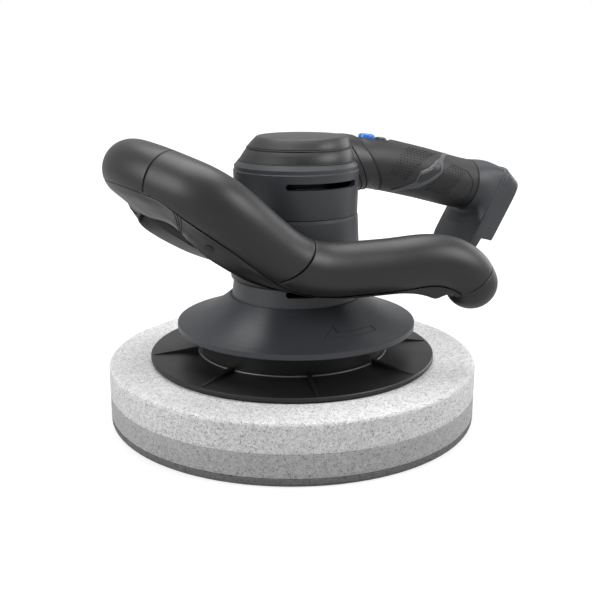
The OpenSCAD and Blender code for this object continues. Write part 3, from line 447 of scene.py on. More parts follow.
def bow_radius(s):
    """Radius of the bow's tube: the arms are a little slimmer than the grips."""
    return mix(GRIP_R, ARM_R, ease((abs(s) - 2)/1.5))


def bow_lip(s):
    """How far a cover reaches round the tube from its top: least in front, most on the arms."""
    u = abs(s)
    return radians(mix(106, 151, ease((u - 1)/1.2)) - 6*ease((u - 4.4)/0.6))


def bow_tilt(s):
    """How far the lower part of an outline leads along the bow, most where grip and arm meet."""
    u = abs(s)
    rise = (u - COVER_END)/(GRIP_END - COVER_END)
    fall = (ARM_END - u)/(ARM_END - GRIP_END)
    tilt = GRIP_TILT*max(0, min(rise, fall))
    return tilt if s >= 0 else -tilt


def lip_edge(s):
    """The lip's angle at the place where the leaning outline's own lip stands."""
    return bow_lip(s + bow_tilt(s)*(1 - cos(bow_lip(s)))/2)


def across_bow(s, x, y):
    """A place of the leaning outline at s, by its distances inward and upward from the centre line."""
    lead = bow_tilt(s)*(1 - y/hypot(x, y))/2
    centre, inward, up, _ = bow_axes(round(s + lead, 4))
    return centre + inward*x + up*y


def bow_pace(s):
    """Millimetres of centre line for each step of 1 along the bow."""
    return (bow_point(s + 0.01) - bow_point(s - 0.01)).length/0.02


def rounded_rows(s0, s1, step, radius):
    """Places from s0 to s1 with the draw-in that rounds both ends."""
    shares = (0.0, 0.12, 0.35, 0.65, 1.0)
    draw = [radius - sqrt(max(0, radius**2 - (radius - radius*k)**2)) for k in shares]
    first = [(s0 + radius*k/bow_pace(s0), d) for k, d in zip(shares, draw)]
    last = [(s1 - radius*k/bow_pace(s1), d) for k, d in zip(shares, draw)]
    count = max(2, round((s1 - s0)/step))
    middle = [(mix(first[-1][0], last[-1][0], i/count), 0) for i in range(1, count)]
    return first + middle + last[::-1]


# Shares of a cover's outline at which its outside, its first lip and its inside end
OUTSIDE_END, LIP_END, INSIDE_END = 0.7, 0.74, 0.96


def cover_outline(u, lip):
    """Angle from the top and depth in the wall, 0 outside and 1 inside, round a cover's section."""
    mean_r = 18
    bulge = COVER_WALL/2/mean_r
    if u < OUTSIDE_END:
        return mix(-lip, lip, u/OUTSIDE_END), 0
    if u < LIP_END:
        half_turn = pi*(u - OUTSIDE_END)/(LIP_END - OUTSIDE_END)
        return lip + bulge*sin(half_turn), (1 - cos(half_turn))/2
    if u < INSIDE_END:
        return mix(lip, -lip, (u - LIP_END)/(INSIDE_END - LIP_END)), 1
    half_turn = pi*(u - INSIDE_END)/(1 - INSIDE_END)
    return -lip - bulge*sin(half_turn), (1 + cos(half_turn))/2


def cover_place(u, row):
    """A place on a bow cover: a tube that is open below, with rounded lips and ends."""
    s, draw = row
    angle, depth = cover_outline(u, lip_edge(s))
    r = bow_radius(s) - COVER_WALL*depth - draw*(1 - depth)
    return across_bow(s, r*sin(angle), r*cos(angle))


def nose_rows(edge):
    """Rows of the nose: place along the bow, draw-in of its rounded end, and degrees up the dome."""
    start, pace = ARM_END + 0.012, 14
    rows = [(start, edge, 0), (start + 0.1*edge/pace, 0.5*edge, 0), (start + edge/pace, 0, 0)]
    rows += [(mix(start, NOSE_START, i/6), 0, 0) for i in range(2, 7)]
    return rows + [(NOSE_START, 0, 6*i) for i in range(1, 16)]


def nose_place(u, row):
    """A place on the rounded nose that closes an arm, a little flatter than a ball."""
    s, draw, dome = row
    centre, inward, up, heading = bow_axes(s)
    r, flat = bow_radius(s), 0.96
    turn, tip = TURN*u, radians(dome)
    ring = (r - draw)*cos(tip)
    return centre + heading*(flat*r*sin(tip)) + inward*(ring*sin(turn)) + up*(ring*cos(turn))


def frame_depth(s):
    """How far the frame reaches below the centre line: deep under the fingers, close under the arms."""
    u = abs(s)
    grip = 28.5 - 3.5*ease((u - 0.2)/0.8) + 1.5*ease((u - 1)/0.7) + 1.5*ease((u - 1.9)/0.4)
    scoop = 6*ease((u - 4.2)/1.1)*(1 - ease((u - 5.3)/1.0))
    return mix(grip, 17.6, ease((u - 2)/1.4)) + scoop


def on_hub(s):
    """Share of the way from a free arm to the hub that holds the bow to the neck."""
    u = abs(s)
    return ease((u - 1.9)/1.2)*(1 - ease((u - 3.8)/0.5))


def frame_side(s, hub, lift, places):
    """One side of the frame below the lip: a shoulder, a waist for the fingers, a foot that may be lifted."""
    low = s + bow_tilt(s)
    p = bow_point(low)
    r, lip = bow_radius(s), lip_edge(s)
    w = r*sin(lip) - 0.3
    top = r*cos(lip) - 0.8
    depth = mix(frame_depth(low), r + 4, hub)*(1 - lift)
    spread = hub*(hypot(p.x, p.y) - NECK_R - 0.3*w + 1.5)
    u = abs(low)
    # Drawn in most where the bow meets the hub, and not at all behind it; set back under the grip alone
    drawn = 1 - 0.5*ease((u - 0.4)/1.4) + 0.85*ease((u - 2.45)/0.45) - 1.35*ease((u - 2.9)/0.8)
    recess = ease((u - 0.6)/0.6)*(1 - ease((u - 1.5)/0.8))
    return [(w*x + shift*drawn + back*recess + spread, mix(top, -depth, y)) for x, y, shift, back in places]


# Steps between two places of the frame's section
FINE = 5


@cache
def frame_outline(s):
    """The frame's section: a core in the covers, a shoulder under their lips, a waist for the fingers."""
    low = abs(s + bow_tilt(s))
    lift = 0.12*ease((low - 0.5)/0.6)*(1 - ease((low - 2.6)/0.6))
    inner = frame_side(s, on_hub(low), lift, FRAME_INSIDE)
    outer = [(-x, y) for x, y in frame_side(s, 0, 0, FRAME_OUTSIDE)]
    control = inner + outer[::-1]
    lower = [on_curve(control, i/FINE) for i in range(FINE*(len(control) - 1) + 1)]
    lip = lip_edge(s)
    play = 0.35
    core = bow_radius(s) - COVER_WALL - play
    stem = (core + play)*sin(lip) - 0.5
    shoulder = (stem, bow_radius(s)*cos(lip) - 0.4)
    turns = [mix(-1, 1, i/16)*(pi - asin(stem/core)) for i in range(17)]
    top = [(core*sin(a), core*cos(a)) for a in turns]
    return [Vector(p) for p in lower + [(-shoulder[0], shoulder[1])] + top + [shoulder]]


def frame_place(u, s):
    """A place on the lower shell of the bow, with its core inside the covers."""
    outline = frame_outline(s)
    p = outline[round(u*len(outline)) % len(outline)]
    return across_bow(s, p.x, p.y)


def on_lip(s):
    """A place on the outer lip of the bow's covers."""
    r, lip = bow_radius(s) - 0.4, lip_edge(s)
    return across_bow(s, -r*sin(lip), r*cos(lip))


def on_frame_wall(s, share):
    """A place on the frame's outer wall, from its foot at 0 to the lip at 1."""
    foot, steps = FINE*len(FRAME_INSIDE), FINE*(len(FRAME_OUTSIDE) - 1)
    p = frame_outline(s)[foot + round(share*steps)]
    return across_bow(s, p.x, p.y)


# Details under the grip: width of a slit, places and width of the ribs, and the bore's place along the bow
SLIT_WIDTH, RIB_PLACES, RIB_WIDTH, MOUTH_AT = 1.5, (1.42, 1.5, 1.58), 0.6, 2.3
# Rows of the bore's mouth: radius and height over the wall
MOUTH_ROWS = [(2.7, -1.5), (2.7, 0.35), (2.3, 0.45), (0, 0.4)]
SIDES = (("near", 1), ("far", -1))
# Finish and slot of the cap and of the bow's hard covers
CAP = ("charcoal_abs", "cap_plastic")


def mouth_place(u, row):
    """A place on the dark disc, painted shade, that marks the mouth of a bore on the frame's outer wall."""
    s = MOUTH_AT
    middle = on_frame_wall(s, 0.5)
    up = (on_frame_wall(s, 0.6) - on_frame_wall(s, 0.4)).normalized()
    along = (on_frame_wall(s + 0.05, 0.5) - on_frame_wall(s - 0.05, 0.5)).normalized()
    out = along.cross(up).normalized()
    out = out if out.dot(middle - bow_point(s)) > 0 or out.y < 0 else -out
    radius, lift = row
    turn = TURN*u
    return middle + along*(radius*cos(turn)) + up*(radius*sin(turn)) + out*lift


class POLISHER_OT_bow_covers(bpy.types.Operator):
    """Moulds the bow's front cover, grips, arms and noses"""
    bl_idname = "polisher.bow_covers"
    bl_label = "Bow covers"

    def execute(self, context):
        edge = context.scene.polisher_sizes.edge_round/MM
        gap, step = 0.006, 0.05
        front = rounded_rows(-COVER_END + gap, COVER_END - gap, step, edge)
        piece(sweep(100, front, cover_place), "bow_front", *CAP, ["bow_front_cover"])
        parts = [("grip", COVER_END, GRIP_END, "soft_grip"), ("arm", GRIP_END, ARM_END, "cap_plastic")]
        nose = nose_rows(edge)
        for side, turn in SIDES:
            for part, s0, s1, slot in parts:
                rows = rounded_rows(s0 + gap, s1 - 2*gap, step, edge)
                skin = sweep(100, rows, cover_place, side=turn)
                piece(skin, f"bow_{part}_{side}_skin", "charcoal_abs", slot, [f"bow_{part}_{side}"])
            tip = sweep(72, nose, nose_place, side=turn)
            piece(tip, f"bow_nose_{side}", *CAP, [f"bow_end_{side}"])
        return {"FINISHED"}


class POLISHER_OT_bow_frame(bpy.types.Operator):
    """Moulds the bow's lower shell, its fine details and the ring that joins it to the neck"""
    bl_idname = "polisher.bow_frame"
    bl_label = "Bow frame"

    def execute(self, context):
        last = ARM_END - 0.015
        steps = 260
        rows = [mix(-last, last, i/steps) for i in range(steps + 1)]
        around = len(frame_outline(0.0))
        piece(sweep(around, rows, frame_place), "bow_shell", *CAP, ["bow_frame"])
        # Outline of the ring as radius and height
        ring = [(42.5, 94.9), (43.2, 94.9), (44, 95.6), (44.25, 96.8), (44.25, 114), (43.9, 116), (43, 117.6),
                (42.5, 117.6)]
        hub = sweep(128, ring + ring[:1], lambda u, row: on_circle(row[0], TURN*u, row[1]))
        piece(hub, "bow_hub", *CAP)

        seams = [("front", COVER_END - 0.05, COVER_END + 0.13), ("rear", GRIP_END - 0.03, GRIP_END + 0.12)]
        for side, turn in SIDES:
            # Dark slits under the lips where two covers meet: painted shade in the gap between them
            for seam, s0, s1 in seams:
                lip = [sided(on_lip(mix(s0, s1, i/10)), turn) for i in range(11)]
                line_tube(f"lip_slit_{seam}_{side}", lip, SLIT_WIDTH, "cap_plastic")
            # Fine ribs across the finger recess, drawn dark as painted shade
            for k, s in enumerate(RIB_PLACES):
                rib = [sided(on_frame_wall(s, mix(0.1, 0.85, i/12)), turn) for i in range(13)]
                line_tube(f"recess_rib_{k}_{side}", rib, RIB_WIDTH, "cap_plastic")
            mouth = sweep(32, MOUTH_ROWS, mouth_place, side=turn)
            piece(mouth, f"screw_mouth_{side}", "groove_abs", "cap_plastic")
        dress("zinc_plate", "bow_screws")
        return {"FINISHED"}


# The rear handle

def handle_heading(s):
    """Direction of the rear handle's centre line."""
    return (on_curve(HANDLE_ROUTE, s + 0.02) - on_curve(HANDLE_ROUTE, s - 0.02)).normalized()


def handle_place(s, angle, lift=0.0):
    """A place on the rear handle: angle 0 is the top, and positive angles are on the near side."""
    c, t = on_curve(HANDLE_ROUTE, s), handle_heading(s)
    h = mix(HANDLE_HIGH, HANDLE_HIGH_END, ease((s - 1)/(HANDLE_LAST - 1)))/2 + lift
    return Vector((c.x - t.y*h*cos(angle), -(HANDLE_HALF + lift)*sin(angle), c.y + t.x*h*cos(angle)))


def root_lift(s, angle):
    """How far the handle's top rises towards the cap, as a fillet between them."""
    rise, end, run = 3, 1.35, 0.75
    return rise*ease((end - s)/run)*max(0, cos(angle))**2


def on_land(p):
    """A place on the handle, lowered to the flat land that the key strip lies in."""
    c, s = cos(STRIP_LEAN), sin(STRIP_LEAN)
    d = p - STRIP_AT
    along, out = c*d.x - s*d.z, s*d.x + c*d.z
    half_length, run, height = 13, 1.6, 0.25
    out -= (1 - ease((abs(along) - half_length)/run))*max(0, out - height)
    return on_strip(along, p.y, out)


def on_strip(x, y, z):
    """A place in the key strip's own frame: along it, across it and out of it."""
    c, s = cos(STRIP_LEAN), sin(STRIP_LEAN)
    return STRIP_AT + Vector((c*x + s*z, y, -s*x + c*z))


def crossing(high, before):
    """The place from 0 to high up to which a test holds, found by halving."""
    low = 0.0
    for _ in range(24):
        t = (low + high)/2
        low, high = (t, high) if before(t) else (low, t)
    return t


def handle_cut(angle, seam):
    """Place at an angle round the handle where its surface passes a seam, which is an x for each point."""
    def before(s):
        p = handle_place(s, angle)
        return p.x < seam(p)

    return crossing(2.8, before)


# Lean of the seams behind the cap
SEAM_SLANT = 0.5317


def cap_seam(p):
    """The slanted seam between the cap's two tiers, where they run down the handle."""
    return 46.7 - SEAM_SLANT*(p.z - 159)


def tier_seam(p):
    """The seam between the cap's lower tier and the barrel, where it runs down the handle."""
    barrel = 41.3 - max(0, p.z - 170.5)
    return max(43.3 - 0.664*(p.z - 157), sqrt(max(0, barrel**2 - p.y**2)) + 0.3)


@cache
def grip_start(angle):
    """Where the soft grip starts along the handle, at the slanted seam behind the cap."""
    return handle_cut(angle, lambda p: 61.6 - SEAM_SLANT*(p.z - 151))


# Details of the grip's near side, as places along the handle and degrees round it from the top
DASHES = {"front": [(2.6, 28), (3.25, 29), (2.77, 79), (2.63, 111), (2.14, 105), (2.29, 76)],
          "rear": [(3.57, 55), (4.04, 60), (3.87, 79), (3.62, 130), (3.06, 125), (3.39, 69)]}
LINES = {"front": [(3.26, 31), (3.04, 43), (2.62, 91), (2.61, 105), (2.55, 117)],
         "rear": [(3.31, 83), (3.57, 54), (4.08, 59), (4.48, 84), (4.45, 110), (4.23, 130)]}
INLAY_FRONT = [(3.50, 14), (3.36, 33), (3.26, 48), (3.0, 77), (2.82, 89), (2.77, 116), (2.62, 131),
               (2.45, 153)]
INLAY_REAR = [(3.62, 17), (3.45, 35), (3.36, 52), (3.34, 80), (3.2, 98), (2.94, 126), (2.74, 136),
              (2.53, 157)]
WINDOW_FRONT = [(3.22, 60), (3.03, 77), (2.84, 97), (2.83, 109)]
WINDOW_REAR = [(3.3, 62), (3.29, 78), (3.04, 103), (2.89, 113)]


def within(place, outline):
    """Whether a place lies inside an outline."""
    x, y = place
    inside = False
    for (x0, y0), (x1, y1) in zip(outline, outline[1:] + outline[:1]):
        if (y0 > y) != (y1 > y) and x < x0 + (x1 - x0)*(y - y0)/(y1 - y0):
            inside = not inside
    return inside


def on_grip(place, side, lift=0.0):
    """A place on the grip by its place along the handle and its degrees round it; side is 1 for near."""
    return handle_place(place[0], side*radians(place[1]), lift)


def straight_steps(places, count):
    """Even steps along each straight run between places."""
    steps = []
    for a, b in zip(places, places[1:]):
        steps += [tuple(mix(p, q, i/count) for p, q in zip(a, b)) for i in range(count)]
    return steps + [places[-1]]


def ribbon(front, rear, side, lift):
    """A band on the grip between two edges, with rounded shoulders, sunk in the skin below."""
    shape = [(0.0, -1.2), (0.0, lift - 0.3), (0.06, lift), (0.3, lift), (0.7, lift), (0.94, lift),
             (1.0, lift - 0.3), (1.0, -1.2)]
    rows = list(zip(straight_steps(front, 6), straight_steps(rear, 6)))

    def place(u, row):
        across, height = shape[round(u*len(shape)) % len(shape)]
        return on_grip(tuple(mix(a, b, across) for a, b in zip(*row)), side, height)

    return sweep(len(shape), rows, place)


def dash_field(outline, side):
    """Short slanted dashes in staggered rows inside an outline on the grip."""
    sizes = bpy.context.scene.polisher_sizes
    bm = bmesh.new()
    # Step along the handle, degrees between two rows, and how far each row is set back from the one before
    step_s, step_a, stagger = 0.072, 6.6, 0.05
    # Where the rows start along the handle, and how far they reach along it and round it
    first_s, reach_s, reach_a = 2, 3, 140
    for row in range(int(reach_a/step_a)):
        for col in range(int(reach_s/step_s)):
            place = (first_s + (col - stagger*row)*step_s, row*step_a)
            if not within(place, outline):
                continue
            p = on_grip(place, side)
            out = (on_grip(place, side, 1.0) - p).normalized()
            along = (on_grip((place[0] + 0.02, place[1] - 1.6), side) - p).normalized()
            along = (along - out*along.dot(out)).normalized()
            turn = Matrix((along, out.cross(along), out)).transposed().to_4x4()
            size = Matrix.Diagonal((sizes.dash_length, sizes.dash_width, 2*sizes.dash_height, 1))
            bmesh.ops.create_cube(bm, size=1.0, matrix=Matrix.Translation(p*MM) @ turn @ size)
    bmesh.ops.bevel(bm, geom=bm.edges[:], offset=0.1*MM, offset_type="OFFSET", segments=1, profile=0.5,
                    affect="EDGES", material=-1)
    bmesh.ops.recalc_face_normals(bm, faces=bm.faces)
    return bm


class POLISHER_OT_rear_grip(bpy.types.Operator):
    """Moulds the soft rear grip, its seams, its dashes and its inlay"""
    bl_idname = "polisher.rear_grip"
    bl_label = "Rear grip"

    def execute(self, context):
        sizes = context.scene.polisher_sizes
        # Rounded ends of the skin: share of its length and draw-in
        draw = [(0.0, 0.6), (0.004, 0.25), (0.012, 0.06), (0.022, 0)]
        rows = draw + [(i/84, 0) for i in range(3, 82)] + [(1 - k, d) for k, d in draw[::-1]]

        def skin(u, row):
            share, lift = row
            angle = TURN*(u - 0.5)
            s = mix(grip_start(angle), HANDLE_LAST - 0.03, share)
            return on_land(handle_place(s, angle, root_lift(s, angle) - lift))

        piece(sweep(96, rows, skin), "grip_skin", "soft_tpe", "soft_grip", ["grip_front", "grip_rear"])
        dress("inner_nylon", "handle_core", "switch_module")

        # The grip's seam lines are drawn dark: painted shade in their grooves
        seam_width = sizes.seam_width/MM
        for side, turn in SIDES:
            for zone, outline in DASHES.items():
                dashes = dash_field(outline, turn)
                piece(dashes, f"grip_dashes_{zone}_{side}", "dash_tpe", "soft_grip")
            for zone, places in LINES.items():
                points = [on_grip(place, turn) for place in straight_steps(places, 6)]
                line_tube(f"grip_line_{zone}_{side}", points, seam_width, "soft_grip")
            band = ribbon(INLAY_FRONT, INLAY_REAR, turn, 0.5)
            piece(band, f"grip_band_{side}", "trim_abs", "trim_plastic", ["grip_inlay"])
            window = ribbon(WINDOW_FRONT, WINDOW_REAR, turn, 0.95)
            piece(window, f"grip_window_{side}", "window_abs", "trim_plastic")

        turns = [radians(a) for a in range(-180, 180, 5)]
        start = [handle_place(grip_start(a) - 0.004, a, root_lift(grip_start(a), a) - 0.2) for a in turns]
        line_tube("grip_front_seam", start, seam_width, "soft_grip", True)
        end = [handle_place(HANDLE_LAST, a, -0.2) for a in turns]
        line_tube("grip_end_seam", end, 1.5*seam_width, "soft_grip", True)
        return {"FINISHED"}


# The battery foot

def in_foot(x, y, z):
    """A place in the foot's own frame: up the slab, across it, and out of its front face."""
    c, s = cos(FOOT_SLOPE), sin(FOOT_SLOPE)
    return FOOT_AT + Vector((c*x - s*z, y, s*x + c*z))


def soft_box(turn, half_l, half_w, corner):
    """A place on the outline of a rectangle with round corners, by the angle from its middle."""
    power = 2.0/max(0.18, min(1.0, corner/min(half_l, half_w)))
    c, s = cos(turn), sin(turn)
    k = (abs(c/half_l)**power + abs(s/half_w)**power)**(-1/power)
    return k*c, k*s


# Rows of the foot's shell from the middle of its front to the middle of its hollow back: inset and height
FOOT_ROWS = [(20, 0), (10, 0), (3, 0), (1.6, -0.05), (0.8, -0.4), (0.25, -1), (0, -1.8), (0, -6), (0, -12),
             (0, -15.2), (0.25, -16), (0.8, -16.6), (1.6, -16.95), (2.4, -17), (4, -17), (4.6, -16.8),
             (5, -16.3), (5, -12), (5, -7), (5.3, -6.3), (6, -6), (10, -6), (20, -6)]
# Shares of the way down the flare, after a first row that lies inside the handle
FLARE_ROWS = [None] + [i/27 for i in range(28)]
# Place up the slab, half length, half width and corner of the flare's lower end
FLARE_AT, FLARE_LONG, FLARE_WIDE, FLARE_CORNER = 39, 28.5, 22.6, 7


def foot_place(u, row):
    """A place on the foot's shell: a slab with round edges, hollow behind, and cut short at its lower end."""
    inset, z = row
    x, y = soft_box(TURN*u, FOOT_LONG - inset, FOOT_WIDE - inset, FOOT_CORNER)
    cut_end, cut_run, growth = 14, 3, 0.11
    floor = -FOOT_SKIN - (FOOT_THICK - FOOT_SKIN)*ease((FOOT_LONG + x - cut_end)/cut_run)
    z = max(z, floor)
    if x > 0:
        x *= 1 + growth*(1 + z/FOOT_THICK)
    return in_foot(FOOT_LONG + x, y, z)


def flare_place(u, q):
    """A place on the neck that flares from the end of the handle to the foot."""
    turn = TURN*u
    s, sunk = HANDLE_LAST + 0.03, 1.2
    if q is None:
        return handle_place(s, turn, -sunk)
    p, t = handle_place(s, turn), handle_heading(s)
    above = (FOOT_AT.x - p.x)*sin(FOOT_SLOPE) + (p.z - FOOT_AT.z)*cos(FOOT_SLOPE)
    x, y = soft_box(turn, FLARE_LONG, FLARE_WIDE, FLARE_CORNER)
    upper = max(0, cos(turn))
    end = in_foot(FLARE_AT + x, -y, -sunk - sunk*upper)
    # The curve bends towards a point that runs on along the handle, is wider, and lies higher on top
    run_on, widened, raised = 0.95, 0.6, 5
    control = p + Vector((t.x, 0, t.y))*(run_on*above)
    control.y = mix(control.y, end.y, widened)
    control += (in_foot(raised, 0, 0) - FOOT_AT)*upper
    return p*(1 - q)**2 + control*(2*q*(1 - q)) + end*q*q


class POLISHER_OT_battery_foot(bpy.types.Operator):
    """Moulds the battery foot, and finishes its rails and terminals"""
    bl_idname = "polisher.battery_foot"
    bl_label = "Battery foot"

    def execute(self, context):
        shells = [("foot_shell", sweep(120, FOOT_ROWS, foot_place)),
                  ("foot_flare", sweep(96, FLARE_ROWS, flare_place))]
        for name, shell in shells:
            piece(shell, name, "slate_nylon", "housing_plastic", ["battery_foot"])
        dress("slate_nylon", "battery_rails")
        dress("inner_nylon", "terminal_block")
        dress("drawn_copper", "terminal_blades")
        return {"FINISHED"}


class POLISHER_OT_keys(bpy.types.Operator):
    """Moulds the two domed keys and finishes their strip"""
    bl_idname = "polisher.keys"
    bl_label = "Keys"

    def execute(self, context):
        # Name, slot, place along the strip, half length and rise of each key
        keys = [("power", "blue_button", -5.9, 6, 3.8), ("stop", "black_button", 5.7, 3.75, 2.6)]
        half_width = 5.5
        for key, slot, at, half, rise in keys:
            dome = [(0, -0.2), (0, rise - 1.9), (0.12, rise - 1.3), (0.5, rise - 0.75), (1.2, rise - 0.35),
                    (2.2, rise - 0.1), (3.4, rise)]

            def place(u, row):
                inset, z = row
                x, y = soft_box(TURN*u, half - inset, half_width - inset, half_width)
                return on_strip(at + x, y, z)

            button = sweep(64, dome, place)
            piece(button, f"{key}_dome", f"{key}_key_abs", slot, [f"{key}_button"], f"{key}_key")
        dress("trim_abs", "button_bezel")
        return {"FINISHED"}


# Housing, pad and inner works

# Levels of the cap's two tiers: radius, distance of the middle behind the motor's axis, and height
TIER_ROWS = [(30, 0.6, 173.5), (37.4, 0.6, 173.5), (37.9, 0.6, 173.7), (38, 0.6, 174.3), (36.4, 1.45, 178),
             (34.8, 2.3, 181.3), (34.3, 2.3, 181.6), (30, 2.3, 181.6)]
CAP_ROWS = [(30, 2.3, 181.9), (33.5, 2.3, 181.9), (33.95, 2.3, 182.2), (34, 2.3, 182.8), (32, 3.4, 186.1),
            (30.5, 4.25, 188.3), (30, 4.4, 188.75), (29.2, 4.4, 189.05), (28, 4.4, 189.2), (20, 4.4, 189.3),
            (0, 4.4, 189.35)]

# Outline of the arrow on the skirt that shows which way the pad turns: radius and degrees from the X axis
ARROW = [(66.1, -103.6), (56.9, -94.6), (62.3, -94.4), (62.8, -82.8), (63.0, -68.9), (67.4, -69.5),
         (66.6, -87.6), (66.1, -103.6)]


def on_skirt(radius, degrees):
    """A place on the skirt's slope by its radius and its angle."""
    def slope(t, k):
        return SKIRT_RIM[k]*(1 - t)**2 + 2*SKIRT_BEND[k]*t*(1 - t) + SKIRT_TOP[k]*t*t

    t = crossing(1.0, lambda t: slope(t, 0) > radius)
    return on_circle(radius, radians(degrees), slope(t, 1))


class POLISHER_OT_housing(bpy.types.Operator):
    """Finishes the skirt, the barrel and the cap"""
    bl_idname = "polisher.housing"
    bl_label = "Housing"

    def execute(self, context):
        sizes = context.scene.polisher_sizes
        dress("slate_nylon", "skirt", "neck_housing", "upper_barrel")
        tiers = [("cap_lower_tier", TIER_ROWS, "cap_tier"), ("cap_upper_tier", CAP_ROWS, "top_cap")]
        for name, rows, node in tiers:
            tier = sweep(128, rows, lambda u, row: on_circle(row[0], TURN*u, row[2], row[1]))
            piece(tier, name, *CAP, [node])

        def root(u, v):
            angle = TURN*(u - 0.5)
            s = mix(0.25, grip_start(angle) - 0.012, v)
            return handle_place(s, angle, root_lift(s, angle) - 0.05)

        piece(wrap(96, 30, root), "handle_root", *CAP, ["cap_tier", "top_cap"])

        # Each groove is drawn as a dark line: painted shade in its bottom
        # Each groove runs round the front of the cap and down both sides of the handle: name, radius, middle,
        # height, degrees where it leaves the cap, degrees where it meets the handle, and its seam there
        grooves = [("cap_groove", 34.4, 2.3, 181.75, 20, 44, cap_seam),
                   ("tier_groove", 38.2, 0.6, 173.6, 25, 73, tier_seam)]
        for name, radius, middle, z, first, meets, seam in grooves:
            turns = [radians(mix(first, 360 - first, i/96)) for i in range(97)]
            front = [on_circle(radius, a, z, middle) for a in turns]
            near = [radians(mix(meets + 2, 180, i/28)) for i in range(29)]
            near = [(handle_cut(a, seam), a) for a in near]
            near = [handle_place(s, a, root_lift(s, a) - 0.1) for s, a in near]
            far = [sided(p, -1) for p in near]
            line_tube(name, far[::-1] + front + near, sizes.groove_width/MM, "cap_plastic")

        # The arrow's outline and edges are drawn as dark lines: painted shade along its moulded edges
        for name, places, width in (("arrow_outline", ARROW, 1), ("arrow_head_edge", ARROW[1:3], 1.8),
                                    ("arrow_tail_edge", ARROW[4:6], 1.8)):
            points = [on_skirt(*place) for place in straight_steps(places, 10)]
            line_tube(name, points, width*sizes.arrow_width/MM, "housing_plastic")
        return {"FINISHED"}


class POLISHER_OT_foam_pad(bpy.types.Operator):
    """Cuts the three layers of the foam pad"""
    bl_idname = "polisher.foam_pad"
    bl_label = "Foam pad"

    def execute(self, context):
        sizes = context.scene.polisher_sizes
        edge = sizes.foam_edge/MM
        # Name, lower and upper face, rounding of both edges, and look of each layer
        layers = [("foam_light", 20.5, PAD_HIGH, LAYER_EDGE, edge, "pale_foam"),
                  ("foam_mid", 5.5, 20.5, LAYER_EDGE, LAYER_EDGE, "grey_foam"),
                  ("foam_dark", 0.0, 5.5, edge, LAYER_EDGE, "dark_foam")]
        quarter = [pi/2*i/5 for i in range(6)]
        for name, low, high, low_edge, high_edge, look in layers:
            outline = [(0.0, low), (60.0, low), (100.0, low)]
            outline += [(PAD_R - low_edge*(1 - sin(a)), low + low_edge*(1 - cos(a))) for a in quarter]
            outline += [(PAD_R, mix(low + low_edge, high - high_edge, i/6)) for i in range(1, 6)]
            outline += [(PAD_R - high_edge*(1 - cos(a)), high - high_edge*(1 - sin(a))) for a in quarter]
            outline += [(mix(PAD_R - high_edge, 96, i/6), high) for i in range(1, 7)]
            outline += [(60.0, high), (0.0, high)]

            def place(u, row):
                r, z = row
                p = on_circle(r, TURN*u, z)
                # The cut side wanders in and out, and the rim of the top face only down
                wander = sizes.foam_fuzz/MM*noise.noise(p*FOAM_WAVES)
                if low + 0.1 < z < high - 0.1 and r > 100:
                    p *= 1 + wander/r
                    p.z = z
                elif z > PAD_HIGH - 0.1 and r > 97:
                    p.z += min(0, wander)
                return p + Vector((-ORBIT, 0, 0))

            pad = piece(sweep(240, outline, place, False), name + "_cut", look, name, [name], "pad")
        return {"FINISHED"}


class POLISHER_OT_backing_plate(bpy.types.Operator):
    """Finishes the backing plate and its collar"""
    bl_idname = "polisher.backing_plate"
    bl_label = "Backing plate"

    def execute(self, context):
        dress("black_polypropylene", "backing_plate")
        dress("collar_polypropylene", "pad_collar")
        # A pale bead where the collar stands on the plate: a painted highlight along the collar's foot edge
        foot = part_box("pad_collar")
        middle = (Vector(foot[0]) + Vector(foot[1]))/2/MM
        height = foot[0][2]/MM + BEAD_LIFT
        bead = [on_circle(BEAD_R, TURN*i/128, height, middle.x) for i in range(128)]
        line_tube("collar_highlight_bead", bead, BEAD_WIDTH, "plate_plastic", True, "bead_polypropylene", "pad")
        dress("hook_nylon", "hook_sheet")
        dress("zinc_plate", "collar_screws", "spindle_bolt", "spindle_clip", "skirt_screws", "motor_screws")
        return {"FINISHED"}


class POLISHER_OT_inner_works(bpy.types.Operator):
    """Finishes the drive and the motor inside the housing"""
    bl_idname = "polisher.inner_works"
    bl_label = "Inner works"

    def execute(self, context):
        dress("turned_steel", "pad_spindle", "pad_bearing", "motor_shaft", "lower_bearing", "upper_bearing",
              "motor_can", "armature_core")
        dress("cast_zinc", "eccentric_hub", "motor_magnets")
        dress("drawn_copper", "armature_windings", "commutator", "brush_holders")
        dress("inner_nylon", "cooling_fan", "motor_end_bell", "carbon_brushes")
        return {"FINISHED"}


def brightness(tree):
    """A socket that is 1 for the rays of the camera, less for those of a gloss, and 0 for all others."""
    gloss_share = 0.45
    rays = put(tree, "ShaderNodeLightPath")
    gloss = put(tree, "ShaderNodeMath", {"operation": "MULTIPLY", 1: gloss_share},
                {0: rays.outputs["Is Glossy Ray"]})
    seen = rays.outputs["Is Camera Ray"]
    for other in (gloss.outputs[0], rays.outputs["Is Transmission Ray"]):
        seen = put(tree, "ShaderNodeMath", {"operation": "MAXIMUM"}, {0: seen, 1: other}).outputs[0]
    return seen


